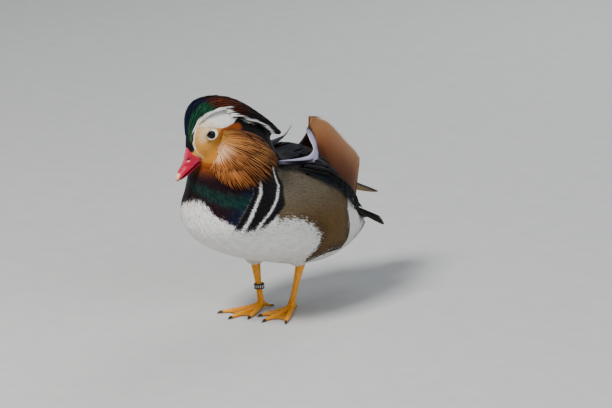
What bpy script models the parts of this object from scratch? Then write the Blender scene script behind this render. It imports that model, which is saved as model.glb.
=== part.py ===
# Mandarin duck drake, standing, as a still life-size model.
# Metres, +Z up. The bird faces -Y and its left side is at +X. The floor is at Z = 0.
# Sizes below are millimetres: forward towards the breast, left, and up from the floor.

import math

import bmesh
import bpy
from mathutils import Matrix, Vector
from mathutils.bvhtree import BVHTree

MM = 0.001
GAP = 0.3  # what touching pieces keep between them
TAIL_TIP = -159.0  # forward place of the tail's tip, from the point between the feet
BILL_TIP = 127.0
MIDDLE = (TAIL_TIP + BILL_TIP) / 2  # the bird's middle, which is the origin

HEAD_FORWARD, HEAD_LEFT, HEAD_UP = 99.5, -5.6, 192.0  # midway between the eyes
HEAD_TURN = math.radians(24)  # towards the bird's right
HEAD_PITCH = math.radians(38)  # the mouth line, below the horizontal

FLAT_ANGLE = math.radians(0.5)  # faces that turn less than this are one face
SKIN_VOXEL = 2.6
BODY_TRIANGLES = 2100
HEAD_PLANE = (70.0, 0.0, 171.0)  # where the head is parted from the neck
NECK_PLANE = (60.0, 0.0, 134.0)  # where the neck is parted from the torso

# Torso, from breast to rump: forward, lowest, highest, half width.
TORSO = (
    (114, 103, 122, 8),
    (110, 92, 135, 21),
    (101, 83, 146, 34.5),
    (84, 73, 152, 46.5),
    (60, 62.5, 153, 53),
    (30, 53, 155, 57),
    (0, 44, 157, 57),
    (-25, 38.5, 156, 54),
    (-48, 36, 145, 48),
    (-70, 37, 125, 39),
    (-90, 41, 102, 29.5),
    (-108, 46, 81, 20),
    (-122, 51, 69, 12.5),
    (-133, 56, 64, 6.5),
)
TORSO_WAIST = 0.44  # how far up a section is widest, as a share of its height
# Neck, upwards: up, forward, left, half length, half width.
NECK = (
    (112, 58, 0, 54, 49),
    (132, 62, 0, 50, 45),
    (150, 65, 1, 46, 39),
    (166, 64, 4, 42, 34),
    (180, 65, 4, 35, 29),
    (194, 70, 4, 25, 21),
)
# Head, from nape to bill: ahead, lowest, highest, half width, in the head's own axes.
HEAD = (
    (-36, -24, -6, 8),
    (-31, -27, 5, 14),
    (-23, -28, 14, 18),
    (-12, -27.5, 20.5, 19),
    (-1, -26.5, 20.5, 17.8),
    (8, -25, 16.5, 15.6),
    (15, -23, 10.5, 12.6),
    (20, -21.3, 5, 10.2),
    (24, -19.8, 0.6, 8),
    (26.5, -17.5, -4, 5.2),
)
EYE_PLACE = (0.0, 13.2, 0.0)  # ahead, out and up, in the head's axes
EYE_RADIUS = 5.4
LID_RADIUS, LID_THICK = 5.5, 1.25
LID_HIGH = 0.86  # height of the lids' ring against its length
LID_STEPS = 14

# Upper bill: ahead, lower edge, ridge, half width, in the head's axes.
UPPER_BILL = (
    (13, -16.3, 1.0, 8.2),
    (21, -16.3, 0.6, 8.0),
    (25, -16.4, -2.0, 7.6),
    (29.5, -16.5, -6.0, 7.0),
    (34.5, -16.5, -9.2, 6.5),
    (39.5, -16.6, -11.3, 6.0),
    (44, -16.9, -12.7, 5.2),
    (47.2, -17.5, -13.7, 3.9),
    (49.0, -18.2, -15.6, 2.0),
)
# Lower bill: ahead, keel, upper edge, half width.
LOWER_BILL = (
    (12, -22.2, -16.9, 7.0),
    (23, -21.4, -16.8, 6.7),
    (31, -20.5, -16.9, 6.0),
    (39, -19.8, -17.1, 5.1),
    (44.8, -19.2, -17.6, 3.6),
    (46.4, -19.0, -18.0, 1.8),
)
NOSTRIL = (28.5, 5.7, -8.8)
NOSTRIL_SIZE = (2.4, 1.5, 1.1)

# The mane from forehead to its end, on the head's middle: ahead and up.
MANE = (
    (18, 10.5),
    (5, 23.5),
    (-10, 28),
    (-25, 21.5),
    (-37, 9.5),
    (-45.5, -6),
    (-51, -24),
    (-55, -40),
    (-57, -56),
)
MANE_WIDTH = (6, 13, 16.5, 17.5, 17, 15, 12, 9, 4)  # half width at each of those points
MANE_ARC = math.radians(78)  # how far round the head the mane reaches on each side
MANE_TIERS = (  # where its feathers begin and end, as shares of its length, and how many
    (-0.06, 0.36, 4),
    (0.14, 0.54, 5),
    (0.34, 0.72, 5),
    (0.5, 0.86, 3),
    (0.6, 0.93, 4),
    (0.72, 1.0, 3),
)
MANE_FEATHER = 5.4  # half width
MANE_DROP = (5.6, 4.3, 3.0, 1.6, 0.4)  # how far under the mane's surface a feather lies, root to tip
MANE_CORE = (3.6, 9.0)  # how far under that surface its core begins and ends
FEATHER_STEP = 1.0  # from one feather to the one beside or under it
FEATHER_THICK = 0.7

# Cheek plumes, on the left side. Roots in the head's axes, tips on the neck.
RUFF_COUNT = 17
RUFF_ROOT = ((15, -19), (9, -16.5), (3, -12.5), (-2, -10), (-7, -9))  # ahead and up, round the cheek
RUFF_OUT = 18.0  # how far from the head's middle the roots are
RUFF_TIP = (
    (105, 8, 155),
    (101, 25, 142.5),
    (86, 38, 138),
    (60, 42, 144.5),
    (38, 33, 153),
    (45, 34, 163),
    (52, 33, 174),
)
RUFF_WIDTH = 2.3
RUFF_BAND = (1.4, 2.1, 2.3, 2.3, 2.3, 2.1, 1.4)  # radius of the band that the plumes grow from
RUFF_SINK, RUFF_RISE = 1.6, 4.2  # how deep the roots lie, and how far the plumes rise from there
RUFF_SWING = math.radians(12)  # how far the turned head pushes the right side round
NECK_AXIS = 62.0

# Folded wing, on the left: a thin pad on the back's side, then flight feathers.
WING_PAD = ((18, 32, 149), (-8, 34, 143), (-32, 38, 130), (-56, 34, 115), (-77, 26, 95))
WING_PAD_SIZE = (5, 9, 13, 13, 7)  # half height of the pad at each of those points
WING_PAD_THICK = (2.0, 3.6, 4.2, 4.2, 2.5)
WING_RINGS, WING_SIDES = 9, 10
PRIMARY_COUNT = 4
PRIMARY_LINE = ((-60, 20, 124), (-84, 14.5, 112), (-110, 11, 98.5), (-147, 9, 82.5))
PRIMARY_ROOT = ((-46, 35, 121), (-66, 18, 122))  # the bar under the sail that they grow from
PRIMARY_ROOT_SIZE = (2.0, 3.5, 4.4, 4.6, 3.5)
PRIMARY_STEP = 0.27  # how much shorter the shortest primary is, as a share
PRIMARY_APART = (0.9, 1.1)  # outwards and down, from one primary to the next
SECONDARY_COUNT = 5
SECONDARY_SHARE = (0.6, 0.36)  # where the last one begins along the pad, and how long each is
WING_FEATHER = 4.6  # half width

# Sail, the broad upright tertial on the left: its lower edge, then its upper edge.
SAIL_LOW = ((-46, 15, 141), (-45, 25, 132), (-54, 31, 117), (-72, 31, 97), (-86, 28, 80))
SAIL_HIGH = ((-51.3, 1.6, 177.5), (-74, 2.4, 171), (-97.5, 5, 149), (-117, 9, 126.5), (-101, 17, 105))
SAIL_BULGE = (-6.0, 4.0)  # how far the sail curves outwards, at its front edge and behind
SAIL_THICK = 0.9
SAIL_SHAFT = 0.45  # how far its shaft stands out
SAIL_ROWS, SAIL_COLUMNS = 6, 8

# Shoulder feathers on the left: where each begins and ends, lowest first.
SCAPULARS = (
    ((38, 28, 152), (-20, 30, 147), 6.0),
    ((36, 22, 154), (-30, 23, 150), 6.5),
    ((34, 16, 156), (-34, 16, 153), 6.5),
    ((30, 10.5, 157), (-32, 10, 154), 6.0),
    ((22, 5.6, 157), (-26, 5.4, 156), 4.2),
)
SCAPULAR_PAD = ((20, 18, 151), (12, 19, 6))  # place and half lengths of what they grow from
SCAPULAR_RISE = (2.0, 3.0)  # how high they lie over the back, and how much more at their tips
# The longest, lilac-edged shoulder feather with its end turned up: its shaft and the way it faces.
PLUME = ((18, 27, 154), (0, 31, 150.5), (-14, 32, 149.5), (-25, 27, 151), (-34, 18, 158), (-35.5, 9, 170.5))
PLUME_FACING = (
    (0, 0.5, 0.86),
    (0, 0.55, 0.83),
    (0, 0.75, 0.65),
    (0.1, 0.9, 0.3),
    (0.25, 0.95, 0.1),
    (0.3, 0.95, 0),
)
PLUME_WIDTH, PLUME_THICK = 4.6, 0.9

# Tail: feathers fan from the rump.
TAIL_FEATHERS = 8
TAIL_SPREAD = math.radians(8)
TAIL_ROOT = (-100, 81)
TAIL_HEIGHT = 53.0
TAIL_FEATHER, TAIL_THICK = 7.0, 0.6
RUMP_PAD = (12, 17, 5)
COVERT_COUNT = 4
COVERT_LENGTH = 34.0

# Legs: hock and ankle of each, forward, left and up.
LEGS = {
    "left": ((-8, 21.5, 41), (-1, 18, 8)),
    "right": ((10, -16.5, 40), (11, -10, 8)),
}
SHANK = ((0, 4.2), (0.14, 3.9), (0.3, 3.1), (0.55, 2.9), (0.8, 2.9), (1.0, 3.4))  # share and radius, down
THIGH = (12, 16, 12)
THIGH_RISE = 16.0
TOES = (  # name, angle outwards from straight ahead, length
    ("inner", -20, 33),
    ("middle", 2, 42),
    ("outer", 30, 39),
)
# Toes: share of the length, up and radius. The hind toe is given by lengths.
TOE = ((0, 5.0, 3.1), (0.25, 3.2, 2.6), (0.5, 2.0, 2.5), (0.78, 1.7, 2.3), (1.0, 1.5, 1.6))
HIND_TOE = ((0, 6.0, 2.6), (4.5, 4.2, 1.9), (11.0, 1.6, 1.3))
HEEL = (5.2, (4.4, 4.6, 5.2))  # height and half lengths of the joint over the toes
CLAW_LENGTH = 5.5
WEB_THICK = 1.3
WEB_REACH, WEB_DIP = 0.92, 0.86  # how far along the toes the web goes, and along its middle
BAND_INNER, BAND_OUTER, BAND_HEIGHT = 4.0, 5.0, 5.0  # the ring is loose on its shank
BAND_PLACE = 0.56  # from hock to ankle
BAND_SHIFT = 0.4
BAND_TILT = math.radians(7)
BAND_SIDES = 20

COLOURS = {
    "white": (0.80, 0.78, 0.74, 0.55, 0.0),
    "breast": (0.045, 0.02, 0.03, 0.45, 0.0),
    "flank": (0.30, 0.20, 0.09, 0.6, 0.0),
    "buff": (0.62, 0.36, 0.13, 0.6, 0.0),
    "crest": (0.02, 0.06, 0.045, 0.35, 0.0),
    "ruff": (0.50, 0.17, 0.045, 0.5, 0.0),
    "black": (0.012, 0.014, 0.025, 0.4, 0.0),
    "sail": (0.56, 0.24, 0.07, 0.5, 0.0),
    "wing": (0.03, 0.04, 0.06, 0.4, 0.0),
    "bill": (0.62, 0.03, 0.05, 0.3, 0.0),
    "leg": (0.75, 0.33, 0.04, 0.45, 0.0),
    "claw": (0.05, 0.035, 0.03, 0.4, 0.0),
    "eye": (0.015, 0.01, 0.008, 0.05, 0.0),
    "band": (0.02, 0.02, 0.02, 0.4, 0.0),
}


def place(forward, left, up):
    """A point of the bird, in metres."""
    return Vector((left, MIDDLE - forward, up)) * MM


def head_place(ahead, left, up):
    """A point in the head's axes: ahead along the mouth line, and up across it."""
    level = ahead * math.cos(HEAD_PITCH) + up * math.sin(HEAD_PITCH)
    rise = up * math.cos(HEAD_PITCH) - ahead * math.sin(HEAD_PITCH)
    return place(
        HEAD_FORWARD + level * math.cos(HEAD_TURN) + left * math.sin(HEAD_TURN),
        HEAD_LEFT - level * math.sin(HEAD_TURN) + left * math.cos(HEAD_TURN),
        HEAD_UP + rise,
    )


def head_axes():
    """The head's directions as a matrix: ahead, left and up."""
    origin = head_place(0, 0, 0)
    axes = [(head_place(*step) - origin).normalized() for step in ((1, 0, 0), (0, 1, 0), (0, 0, 1))]
    return Matrix(axes).transposed()


def between(rows, share):
    """The smooth curve through rows of numbers, at a share of its length from 0 to 1."""
    last = len(rows) - 1
    spot = min(max(share, 0.0), 1.0) * last
    i = min(int(spot), last - 1)
    t = spot - i
    a, b, c, d = (rows[min(max(k, 0), last)] for k in (i - 1, i, i + 1, i + 2))
    return [
        0.5 * (2 * q + (r - p) * t + (2 * p - 5 * q + 4 * r - s) * t**2 + (3 * q - p - 3 * r + s) * t**3)
        for p, q, r, s in zip(a, b, c, d)
    ]


def object_of(name, bm):
    """A closed bmesh as an object of the scene, with its faces pointing out."""
    bmesh.ops.recalc_face_normals(bm, faces=bm.faces)
    mesh = bpy.data.meshes.new(name)
    bm.to_mesh(mesh)
    bm.free()
    obj = bpy.data.objects.new(name, mesh)
    bpy.context.scene.collection.objects.link(obj)
    return obj


def loft(name, rings):
    """A closed skin over rings of points, with its two ends filled."""
    bm = bmesh.new()
    loops = [[bm.verts.new(point) for point in ring] for ring in rings]
    for low, high in zip(loops, loops[1:]):
        for i in range(len(low)):
            j = (i + 1) % len(low)
            bm.faces.new((low[i], low[j], high[j], high[i]))
    bm.faces.new(loops[0])
    bm.faces.new(loops[-1])
    bmesh.ops.triangulate(bm, faces=bm.faces)
    return object_of(name, bm)


def section(low, high, half_width, waist, sides):
    """Points (left, up) round an egg-shaped section, widest at waist of its height."""
    middle = low + (high - low) * waist
    points = []
    for i in range(sides):
        angle = 2 * math.pi * i / sides
        reach = high - middle if math.sin(angle) > 0 else middle - low
        points.append((half_width * math.cos(angle), middle + reach * math.sin(angle)))
    return points


def baked(obj):
    """The object with its modifiers applied."""
    graph = bpy.context.evaluated_depsgraph_get()
    mesh = bpy.data.meshes.new_from_object(obj.evaluated_get(graph))
    obj.modifiers.clear()
    obj.data = mesh
    return obj


def joined(name, pieces):
    """One closed object from overlapping closed pieces."""
    first, rest = pieces[0], pieces[1:]
    first.name = name
    if not rest:
        return first
    group = bpy.data.collections.new(name + "_pieces")
    bpy.context.scene.collection.children.link(group)
    for piece in rest:
        bpy.context.scene.collection.objects.unlink(piece)
        group.objects.link(piece)
    union = first.modifiers.new("union", "BOOLEAN")
    union.operation = "UNION"
    union.solver = "MANIFOLD"
    union.operand_type = "COLLECTION"
    union.collection = group
    baked(first)
    for piece in rest:
        bpy.data.objects.remove(piece)
    bpy.data.collections.remove(group)
    return keep_largest(first)


def volume_of(faces):
    """Six times the volume inside some faces."""
    total = 0.0
    for face in faces:
        a, b, c = (v.co for v in face.verts[:3])
        total += a.dot(b.cross(c))
    return total


def split_faces(mesh, flat_angle=None):
    """The mesh as a bmesh of triangles, split in the first way that leaves it closed. Faces that turn
    less than flat_angle are made one face first."""
    for method in ("BEAUTY", "EAR_CLIP"):
        bm = bmesh.new()
        bm.from_mesh(mesh)
        if flat_angle:
            bmesh.ops.dissolve_limit(bm, angle_limit=flat_angle, verts=bm.verts, edges=bm.edges)
        bmesh.ops.triangulate(bm, faces=bm.faces, ngon_method=method)
        if all(edge.is_manifold for edge in bm.edges):
            return bm
        bm.free()
    return None


def keep_largest(obj):
    """Leaves only the largest closed surface of the object, in few triangles."""
    bm = split_faces(obj.data)
    left = set(bm.faces)
    shells = []
    while left:
        todo, shell = [left.pop()], []
        while todo:
            face = todo.pop()
            shell.append(face)
            for edge in face.edges:
                if not edge.is_manifold:
                    continue  # two shells that only touch along an edge are told apart
                for other in edge.link_faces:
                    if other in left:
                        left.remove(other)
                        todo.append(other)
        shells.append(shell)
    largest = max(shells, key=volume_of)
    loose = [face for shell in shells if shell is not largest for face in shell]
    bmesh.ops.delete(bm, geom=loose, context="FACES")
    bm.to_mesh(obj.data)
    bm.free()
    bm = split_faces(obj.data, FLAT_ANGLE)
    if bm:
        bm.to_mesh(obj.data)
        bm.free()
    return obj


def cut(obj, *cutters):
    """Takes cutters out of the object, and removes them."""
    for cutter in cutters:
        difference = obj.modifiers.new("cut", "BOOLEAN")
        difference.operation = "DIFFERENCE"
        difference.solver = "MANIFOLD"
        difference.object = cutter
        baked(obj)
        bpy.data.objects.remove(cutter)
    return keep_largest(obj)


def grown(obj, by=GAP):
    """A copy of the object whose surface stands out by a distance."""
    copy = obj.copy()
    copy.data = obj.data.copy()
    copy.name = obj.name + "_grown"
    bpy.context.scene.collection.objects.link(copy)
    normals = [vertex.normal.copy() for vertex in copy.data.vertices]
    for vertex, normal in zip(copy.data.vertices, normals):
        vertex.co += normal * by * MM
    return copy


def half(obj, name, spot, normal, keep_above):
    """A closed copy of the object on one side of a plane, half the gap away from it."""
    side = 1 if keep_above else -1
    bm = bmesh.new()
    bm.from_mesh(obj.data)
    bmesh.ops.bisect_plane(
        bm,
        geom=bm.verts[:] + bm.edges[:] + bm.faces[:],
        plane_co=spot + normal * (side * GAP / 2 * MM),
        plane_no=normal,
        clear_inner=keep_above,
        clear_outer=not keep_above,
    )
    rim = [edge for edge in bm.edges if edge.is_boundary]
    bmesh.ops.holes_fill(bm, edges=rim, sides=0)
    bmesh.ops.triangulate(bm, faces=bm.faces)
    return keep_largest(object_of(name, bm))


def ball(name, centre, size, axes=None, rings=8, sides=12):
    """An ellipsoid. size is its half lengths, along axes if they are given."""
    bm = bmesh.new()
    bmesh.ops.create_uvsphere(bm, u_segments=sides, v_segments=rings, radius=1.0)
    turn = (axes or Matrix.Identity(3)).to_4x4()
    grow = Matrix.Diagonal((size[0] * MM, size[1] * MM, size[2] * MM, 1))
    bmesh.ops.transform(bm, matrix=Matrix.Translation(centre) @ turn @ grow, verts=bm.verts)
    bmesh.ops.triangulate(bm, faces=bm.faces)
    return object_of(name, bm)


def tube(name, spine, radii, sides=8, flat=1.0):
    """A round tapering rod along spine. flat presses it along the vertical."""
    rings = []
    for i, point in enumerate(spine):
        along = (spine[min(i + 1, len(spine) - 1)] - spine[max(i - 1, 0)]).normalized()
        across = along.cross(Vector((0, 0, 1)))
        across = across.normalized() if across.length > 0.2 else Vector((1, 0, 0))
        lift = across.cross(along).normalized()
        ring = []
        for k in range(sides):
            angle = 2 * math.pi * k / sides
            ring.append(point + (across * math.cos(angle) + lift * math.sin(angle) * flat) * radii[i] * MM)
        rings.append(ring)
    return loft(name, rings)


def vane(name, spine, normals, half_widths, thick=FEATHER_THICK):
    """One feather: a thin closed blade along its spine, its two faces split into triangles alike."""
    bm = bmesh.new()
    rows = []
    last = len(spine) - 1
    for i, point in enumerate(spine):
        along = (spine[min(i + 1, last)] - spine[max(i - 1, 0)]).normalized()
        across = along.cross(normals[i]).normalized()
        reach = across * half_widths[i] * MM
        out = across.cross(along).normalized() * thick / 2 * MM
        corners = (point - reach + out, point + reach + out, point + reach - out, point - reach - out)
        rows.append([bm.verts.new(corner) for corner in corners])
    for low, high in zip(rows, rows[1:]):
        for a, b in ((0, 1), (3, 2), (0, 3), (1, 2)):
            bm.faces.new((low[a], low[b], high[b]))
            bm.faces.new((low[a], high[b], high[a]))
    for row in (rows[0], rows[-1]):
        bm.faces.new((row[0], row[1], row[2]))
        bm.faces.new((row[0], row[2], row[3]))
    return object_of(name, bm)


def feather_widths(half_width, count, root=0.45, tip=0.18, broadest=0.6):
    """Half widths along a feather that swells to its broadest place and narrows to its tip."""
    widths = []
    for i in range(count):
        t = i / (count - 1)
        if t < broadest:
            widths.append(half_width * (root + (1 - root) * math.sin(math.pi / 2 * t / broadest)))
        else:
            s = (t - broadest) / (1 - broadest)
            widths.append(half_width * (tip + (1 - tip) * math.sqrt(max(0.0, 1 - s * s))))
    return widths


class Surface:
    """The body's outer surface, on which feathers are laid."""

    def __init__(self, obj):
        mesh = obj.data
        self.tree = BVHTree.FromPolygons(
            [vertex.co.copy() for vertex in mesh.vertices],
            [tuple(polygon.vertices) for polygon in mesh.polygons],
        )

    def lay(self, point, height):
        """The point that stands height above the surface nearest to point, and the normal there."""
        spot, normal, _, _ = self.tree.find_nearest(point)
        return spot + normal * height * MM, normal

    def strand(self, start, end, count, heights):
        """Points and normals from start to end along the surface. heights is a function of the share."""
        places = [i / (count - 1) for i in range(count)]
        laid = [self.lay(start.lerp(end, t), heights(t)) for t in places]
        return [point for point, _ in laid], [normal for _, normal in laid]


def mirrored(points):
    """Rows of forward, left and up for the other side of the body."""
    return tuple((forward, -left, up) for forward, left, up in points)


def sided(points, side):
    return points if side == "left" else mirrored(points)


def make_body():
    """Torso, neck, head and thighs as one smooth closed form."""
    torso = []
    for i in range(27):
        forward, low, high, width = between(TORSO, i / 26)
        torso.append([place(forward, x, z) for x, z in section(low, high, width, TORSO_WAIST, 28)])
    neck = []
    for i in range(12):
        up, forward, left, length, width = between(NECK, i / 11)
        ring = [2 * math.pi * k / 24 for k in range(24)]
        neck.append([place(forward + length * math.cos(a), left + width * math.sin(a), up) for a in ring])
    head = []
    for i in range(19):
        ahead, low, high, width = between(HEAD, i / 18)
        head.append([head_place(ahead, x, z) for x, z in section(low, high, width, 0.5, 24)])
    pieces = [loft("torso_form", torso), loft("neck_form", neck), loft("head_form", head)]
    for side, (hock, _) in LEGS.items():
        pieces.append(ball("thigh_" + side, place(hock[0], hock[1], hock[2] + THIGH_RISE), THIGH))
    body = joined("body", pieces)
    remesh = body.modifiers.new("remesh", "REMESH")
    remesh.mode = "VOXEL"
    remesh.voxel_size = SKIN_VOXEL * MM
    smooth = body.modifiers.new("smooth", "SMOOTH")
    smooth.factor = 0.5
    smooth.iterations = 9
    baked(body)
    triangles = sum(len(polygon.vertices) - 2 for polygon in body.data.polygons)
    decimate = body.modifiers.new("decimate", "DECIMATE")
    decimate.ratio = BODY_TRIANGLES / triangles
    return baked(body)


def part_body(body):
    """The head, neck and torso, parted from one another by thin cuts."""
    head_normal = Vector((0, -0.42, 0.907)).normalized()
    neck_normal = Vector((0, -0.3, 0.954)).normalized()
    head_spot, neck_spot = place(*HEAD_PLANE), place(*NECK_PLANE)
    head = half(body, "head", head_spot, head_normal, True)
    rest = half(body, "rest", head_spot, head_normal, False)
    neck = half(rest, "neck", neck_spot, neck_normal, True)
    torso = half(rest, "torso", neck_spot, neck_normal, False)
    bpy.data.objects.remove(rest)
    return head, neck, torso


def eye_centre(side):
    ahead, out, up = EYE_PLACE
    return head_place(ahead, out if side == "left" else -out, up)


def make_eyes(head):
    """The two eyes in their sockets, each with a raised ring of lid."""
    eyes = []
    axes = head_axes()
    for side, sign in (("left", 1), ("right", -1)):
        centre = eye_centre(side)
        outward = (axes @ Vector((0.12, sign, 0.05))).normalized()
        turn = outward.to_track_quat("Z", "Y").to_matrix()
        lid = lid_ring("lid_" + side, centre + outward * 5.0 * MM, turn)
        head = joined("head", [head, lid])
        head = cut(head, ball("socket", centre, [EYE_RADIUS + GAP] * 3, turn, 10, 16))
        eyes.append(ball("eye_" + side, centre, [EYE_RADIUS] * 3, turn, 7, 12))
    return head, eyes


def lid_ring(name, centre, turn):
    """An oval ring, a little longer along the head than it is high."""
    rings = []
    up = turn @ Vector((0, 0, 1))
    steps = [2 * math.pi * k / 5 for k in range(5)]
    for i in range(LID_STEPS):
        a = 2 * math.pi * i / LID_STEPS
        out = turn @ Vector((math.cos(a), math.sin(a) * LID_HIGH, 0))
        middle = centre + out * LID_RADIUS * MM
        rings.append([middle + (out * math.cos(b) + up * math.sin(b)) * LID_THICK * MM for b in steps])
    bm = bmesh.new()
    loops = [[bm.verts.new(point) for point in ring] for ring in rings]
    for low, high in zip(loops, loops[1:] + loops[:1]):
        for k in range(5):
            j = (k + 1) % 5
            bm.faces.new((low[k], low[j], high[j], high[k]))
    bmesh.ops.triangulate(bm, faces=bm.faces)
    return object_of(name, bm)


def bill_half(name, rows, sides, waist, steps):
    rings = []
    for i in range(steps):
        ahead, low, high, width = between(rows, i / (steps - 1))
        rings.append([head_place(ahead, x, z) for x, z in section(low, high, width, waist, sides)])
    return loft(name, rings)


def make_bill(head):
    """The upper bill with its nostrils, and the lower bill, each cut back to the face."""
    upper = bill_half("bill_upper", UPPER_BILL, 12, 0.16, 13)
    lower = bill_half("bill_lower", LOWER_BILL, 10, 0.78, 8)
    axes = head_axes()
    ahead, out, up = NOSTRIL
    for sign in (1, -1):
        cut(upper, ball("nostril", head_place(ahead, sign * out, up), NOSTRIL_SIZE, axes, 6, 8))
    cut(upper, grown(head))
    cut(lower, grown(head), grown(upper))
    return upper, lower


def mane_point(t, across, drop=0.0):
    """A point on the mane: t from forehead to end, across from -1 to 1, and drop below its surface."""
    ahead, up = between(MANE, t)
    ahead_next, up_next = between(MANE, min(t + 0.02, 1.0))
    ahead_back, up_back = between(MANE, max(t - 0.02, 0.0))
    run = Vector((ahead_next - ahead_back, up_next - up_back)).normalized()
    out = Vector((run.y, -run.x))  # away from the head, on its middle
    width = between([(w,) for w in MANE_WIDTH], t)[0]
    angle = across * MANE_ARC
    fall = width * 0.8 * (1 - math.cos(angle)) + drop
    return head_place(ahead - out.x * fall, width * math.sin(angle), up - out.y * fall)


def mane_normal(t, across):
    """The way out of the mane's surface at a place on it."""
    along = mane_point(min(t + 0.02, 1), across) - mane_point(max(t - 0.02, 0), across)
    side = mane_point(t, across + 0.05) - mane_point(t, across - 0.05)
    normal = along.cross(side).normalized()
    away = mane_point(t, across) - mane_point(t, 0, 12.0)
    return normal if normal.dot(away) > 0 else -normal


def make_crest(head, neck, torso):
    """The mane as tiers of overlapping feathers that grow from a low core on crown and nape."""
    rings = []
    core_top, core_floor = MANE_CORE
    core_rim = (core_top + core_floor) / 2
    for i in range(9):
        t = 0.05 + 0.78 * i / 8
        ring = []
        for k in range(10):
            across = math.cos(2 * math.pi * k / 10)
            drop = core_top if k <= 5 else core_floor
            ring.append(mane_point(t, across * 0.86, drop - (drop - core_rim) * abs(across) ** 3))
        rings.append(ring)
    pieces = [loft("crest_core", rings)]
    for tier, (start, end, count) in enumerate(MANE_TIERS):
        for k in range(count):
            across = (2 * k / (count - 1) - 1) * 0.92
            spine, normals = [], []
            for i in range(5):
                s = i / 4
                t = max(0.0, start + (end - start) * s)
                drop = MANE_DROP[i] + FEATHER_STEP * (k % 2)
                spine.append(mane_point(t, across * (1 - 0.12 * s), drop))
                normals.append(mane_normal(t, across))
            widths = feather_widths(MANE_FEATHER - 0.6 * max(0, tier - 2), 5)
            pieces.append(vane("crest_feather", spine, normals, widths))
    crest = joined("crest", pieces)
    return cut(crest, grown(head), grown(neck), grown(torso))


def make_ruff(side, surface, bodies):
    """The cheek plumes of one side, narrow and pointed, fanned over the neck from a thin band."""
    sign = 1 if side == "left" else -1
    pieces = []
    for i in range(RUFF_COUNT):
        share = i / (RUFF_COUNT - 1)
        ahead, up = between(RUFF_ROOT, share)
        forward, left, high = between(RUFF_TIP, share)
        if sign < 0:
            forward, left = other_side_tip(forward, left)
        start = head_place(ahead, sign * RUFF_OUT, up)
        end = place(forward, left, high)
        height = FEATHER_STEP * (i % 2) - RUFF_SINK
        points, normals = surface.strand(start, end, 5, lambda t: height + RUFF_RISE * min(1.0, 2.5 * t))
        widths = feather_widths(RUFF_WIDTH, 5, root=0.3, tip=0.12)
        pieces.append(vane("ruff_plume", points, normals, widths))
    roots = []
    last = len(RUFF_BAND) - 1
    for i in range(last + 1):
        ahead, up = between(RUFF_ROOT, i / last)
        roots.append(surface.lay(head_place(ahead, sign * RUFF_OUT, up), 0.1)[0])
    pieces.insert(0, tube("ruff_" + side, roots, RUFF_BAND))
    ruff = joined("ruff_" + side, pieces)
    return cut(ruff, *[grown(body) for body in bodies])


def other_side_tip(forward, left):
    """The place on the right that matches one on the left, pushed round by the turned head."""
    reach = Vector((forward - NECK_AXIS, -left))
    reach.rotate(Matrix.Rotation(-RUFF_SWING, 2))
    return NECK_AXIS + reach.x, reach.y


def make_sail(side):
    """The broad upright feather of one side, with a raised shaft along its rear edge."""
    low, high = sided(SAIL_LOW, side), sided(SAIL_HIGH, side)
    sign = 1 if side == "left" else -1
    columns = SAIL_COLUMNS
    front, behind = SAIL_BULGE
    bm = bmesh.new()
    faces_of = {1: [], -1: []}
    for i in range(SAIL_ROWS + 1):
        t = i / SAIL_ROWS
        row = {1: [], -1: []}
        for k in range(columns):
            s = k / (columns - 1)
            foot = Vector(between(low, s))
            top = Vector(between(high, s))
            bulge = math.sin(math.pi * t) * (front + (behind - front) * min(1.0, 2.2 * s))
            spot = foot.lerp(top, t) + Vector((0, sign * bulge, 0))
            shaft = SAIL_SHAFT if k == columns - 2 else 0.0
            for face in (1, -1):
                thick = SAIL_THICK / 2 + shaft
                row[face].append(bm.verts.new(place(spot.x, spot.y + sign * face * thick, spot.z)))
        for face in (1, -1):
            faces_of[face].append(row[face])
    for face in (1, -1):
        for lower, upper in zip(faces_of[face], faces_of[face][1:]):
            for k in range(columns - 1):
                bm.faces.new((lower[k], lower[k + 1], upper[k + 1]))
                bm.faces.new((lower[k], upper[k + 1], upper[k]))
    outer, inner = faces_of[1], faces_of[-1]
    for i in range(SAIL_ROWS):
        for k in (0, columns - 1):
            bm.faces.new((outer[i][k], outer[i + 1][k], inner[i + 1][k]))
            bm.faces.new((outer[i][k], inner[i + 1][k], inner[i][k]))
    for i in (0, SAIL_ROWS):
        for k in range(columns - 1):
            bm.faces.new((outer[i][k], outer[i][k + 1], inner[i][k + 1]))
            bm.faces.new((outer[i][k], inner[i][k + 1], inner[i][k]))
    return object_of("sail_" + side, bm)


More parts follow.
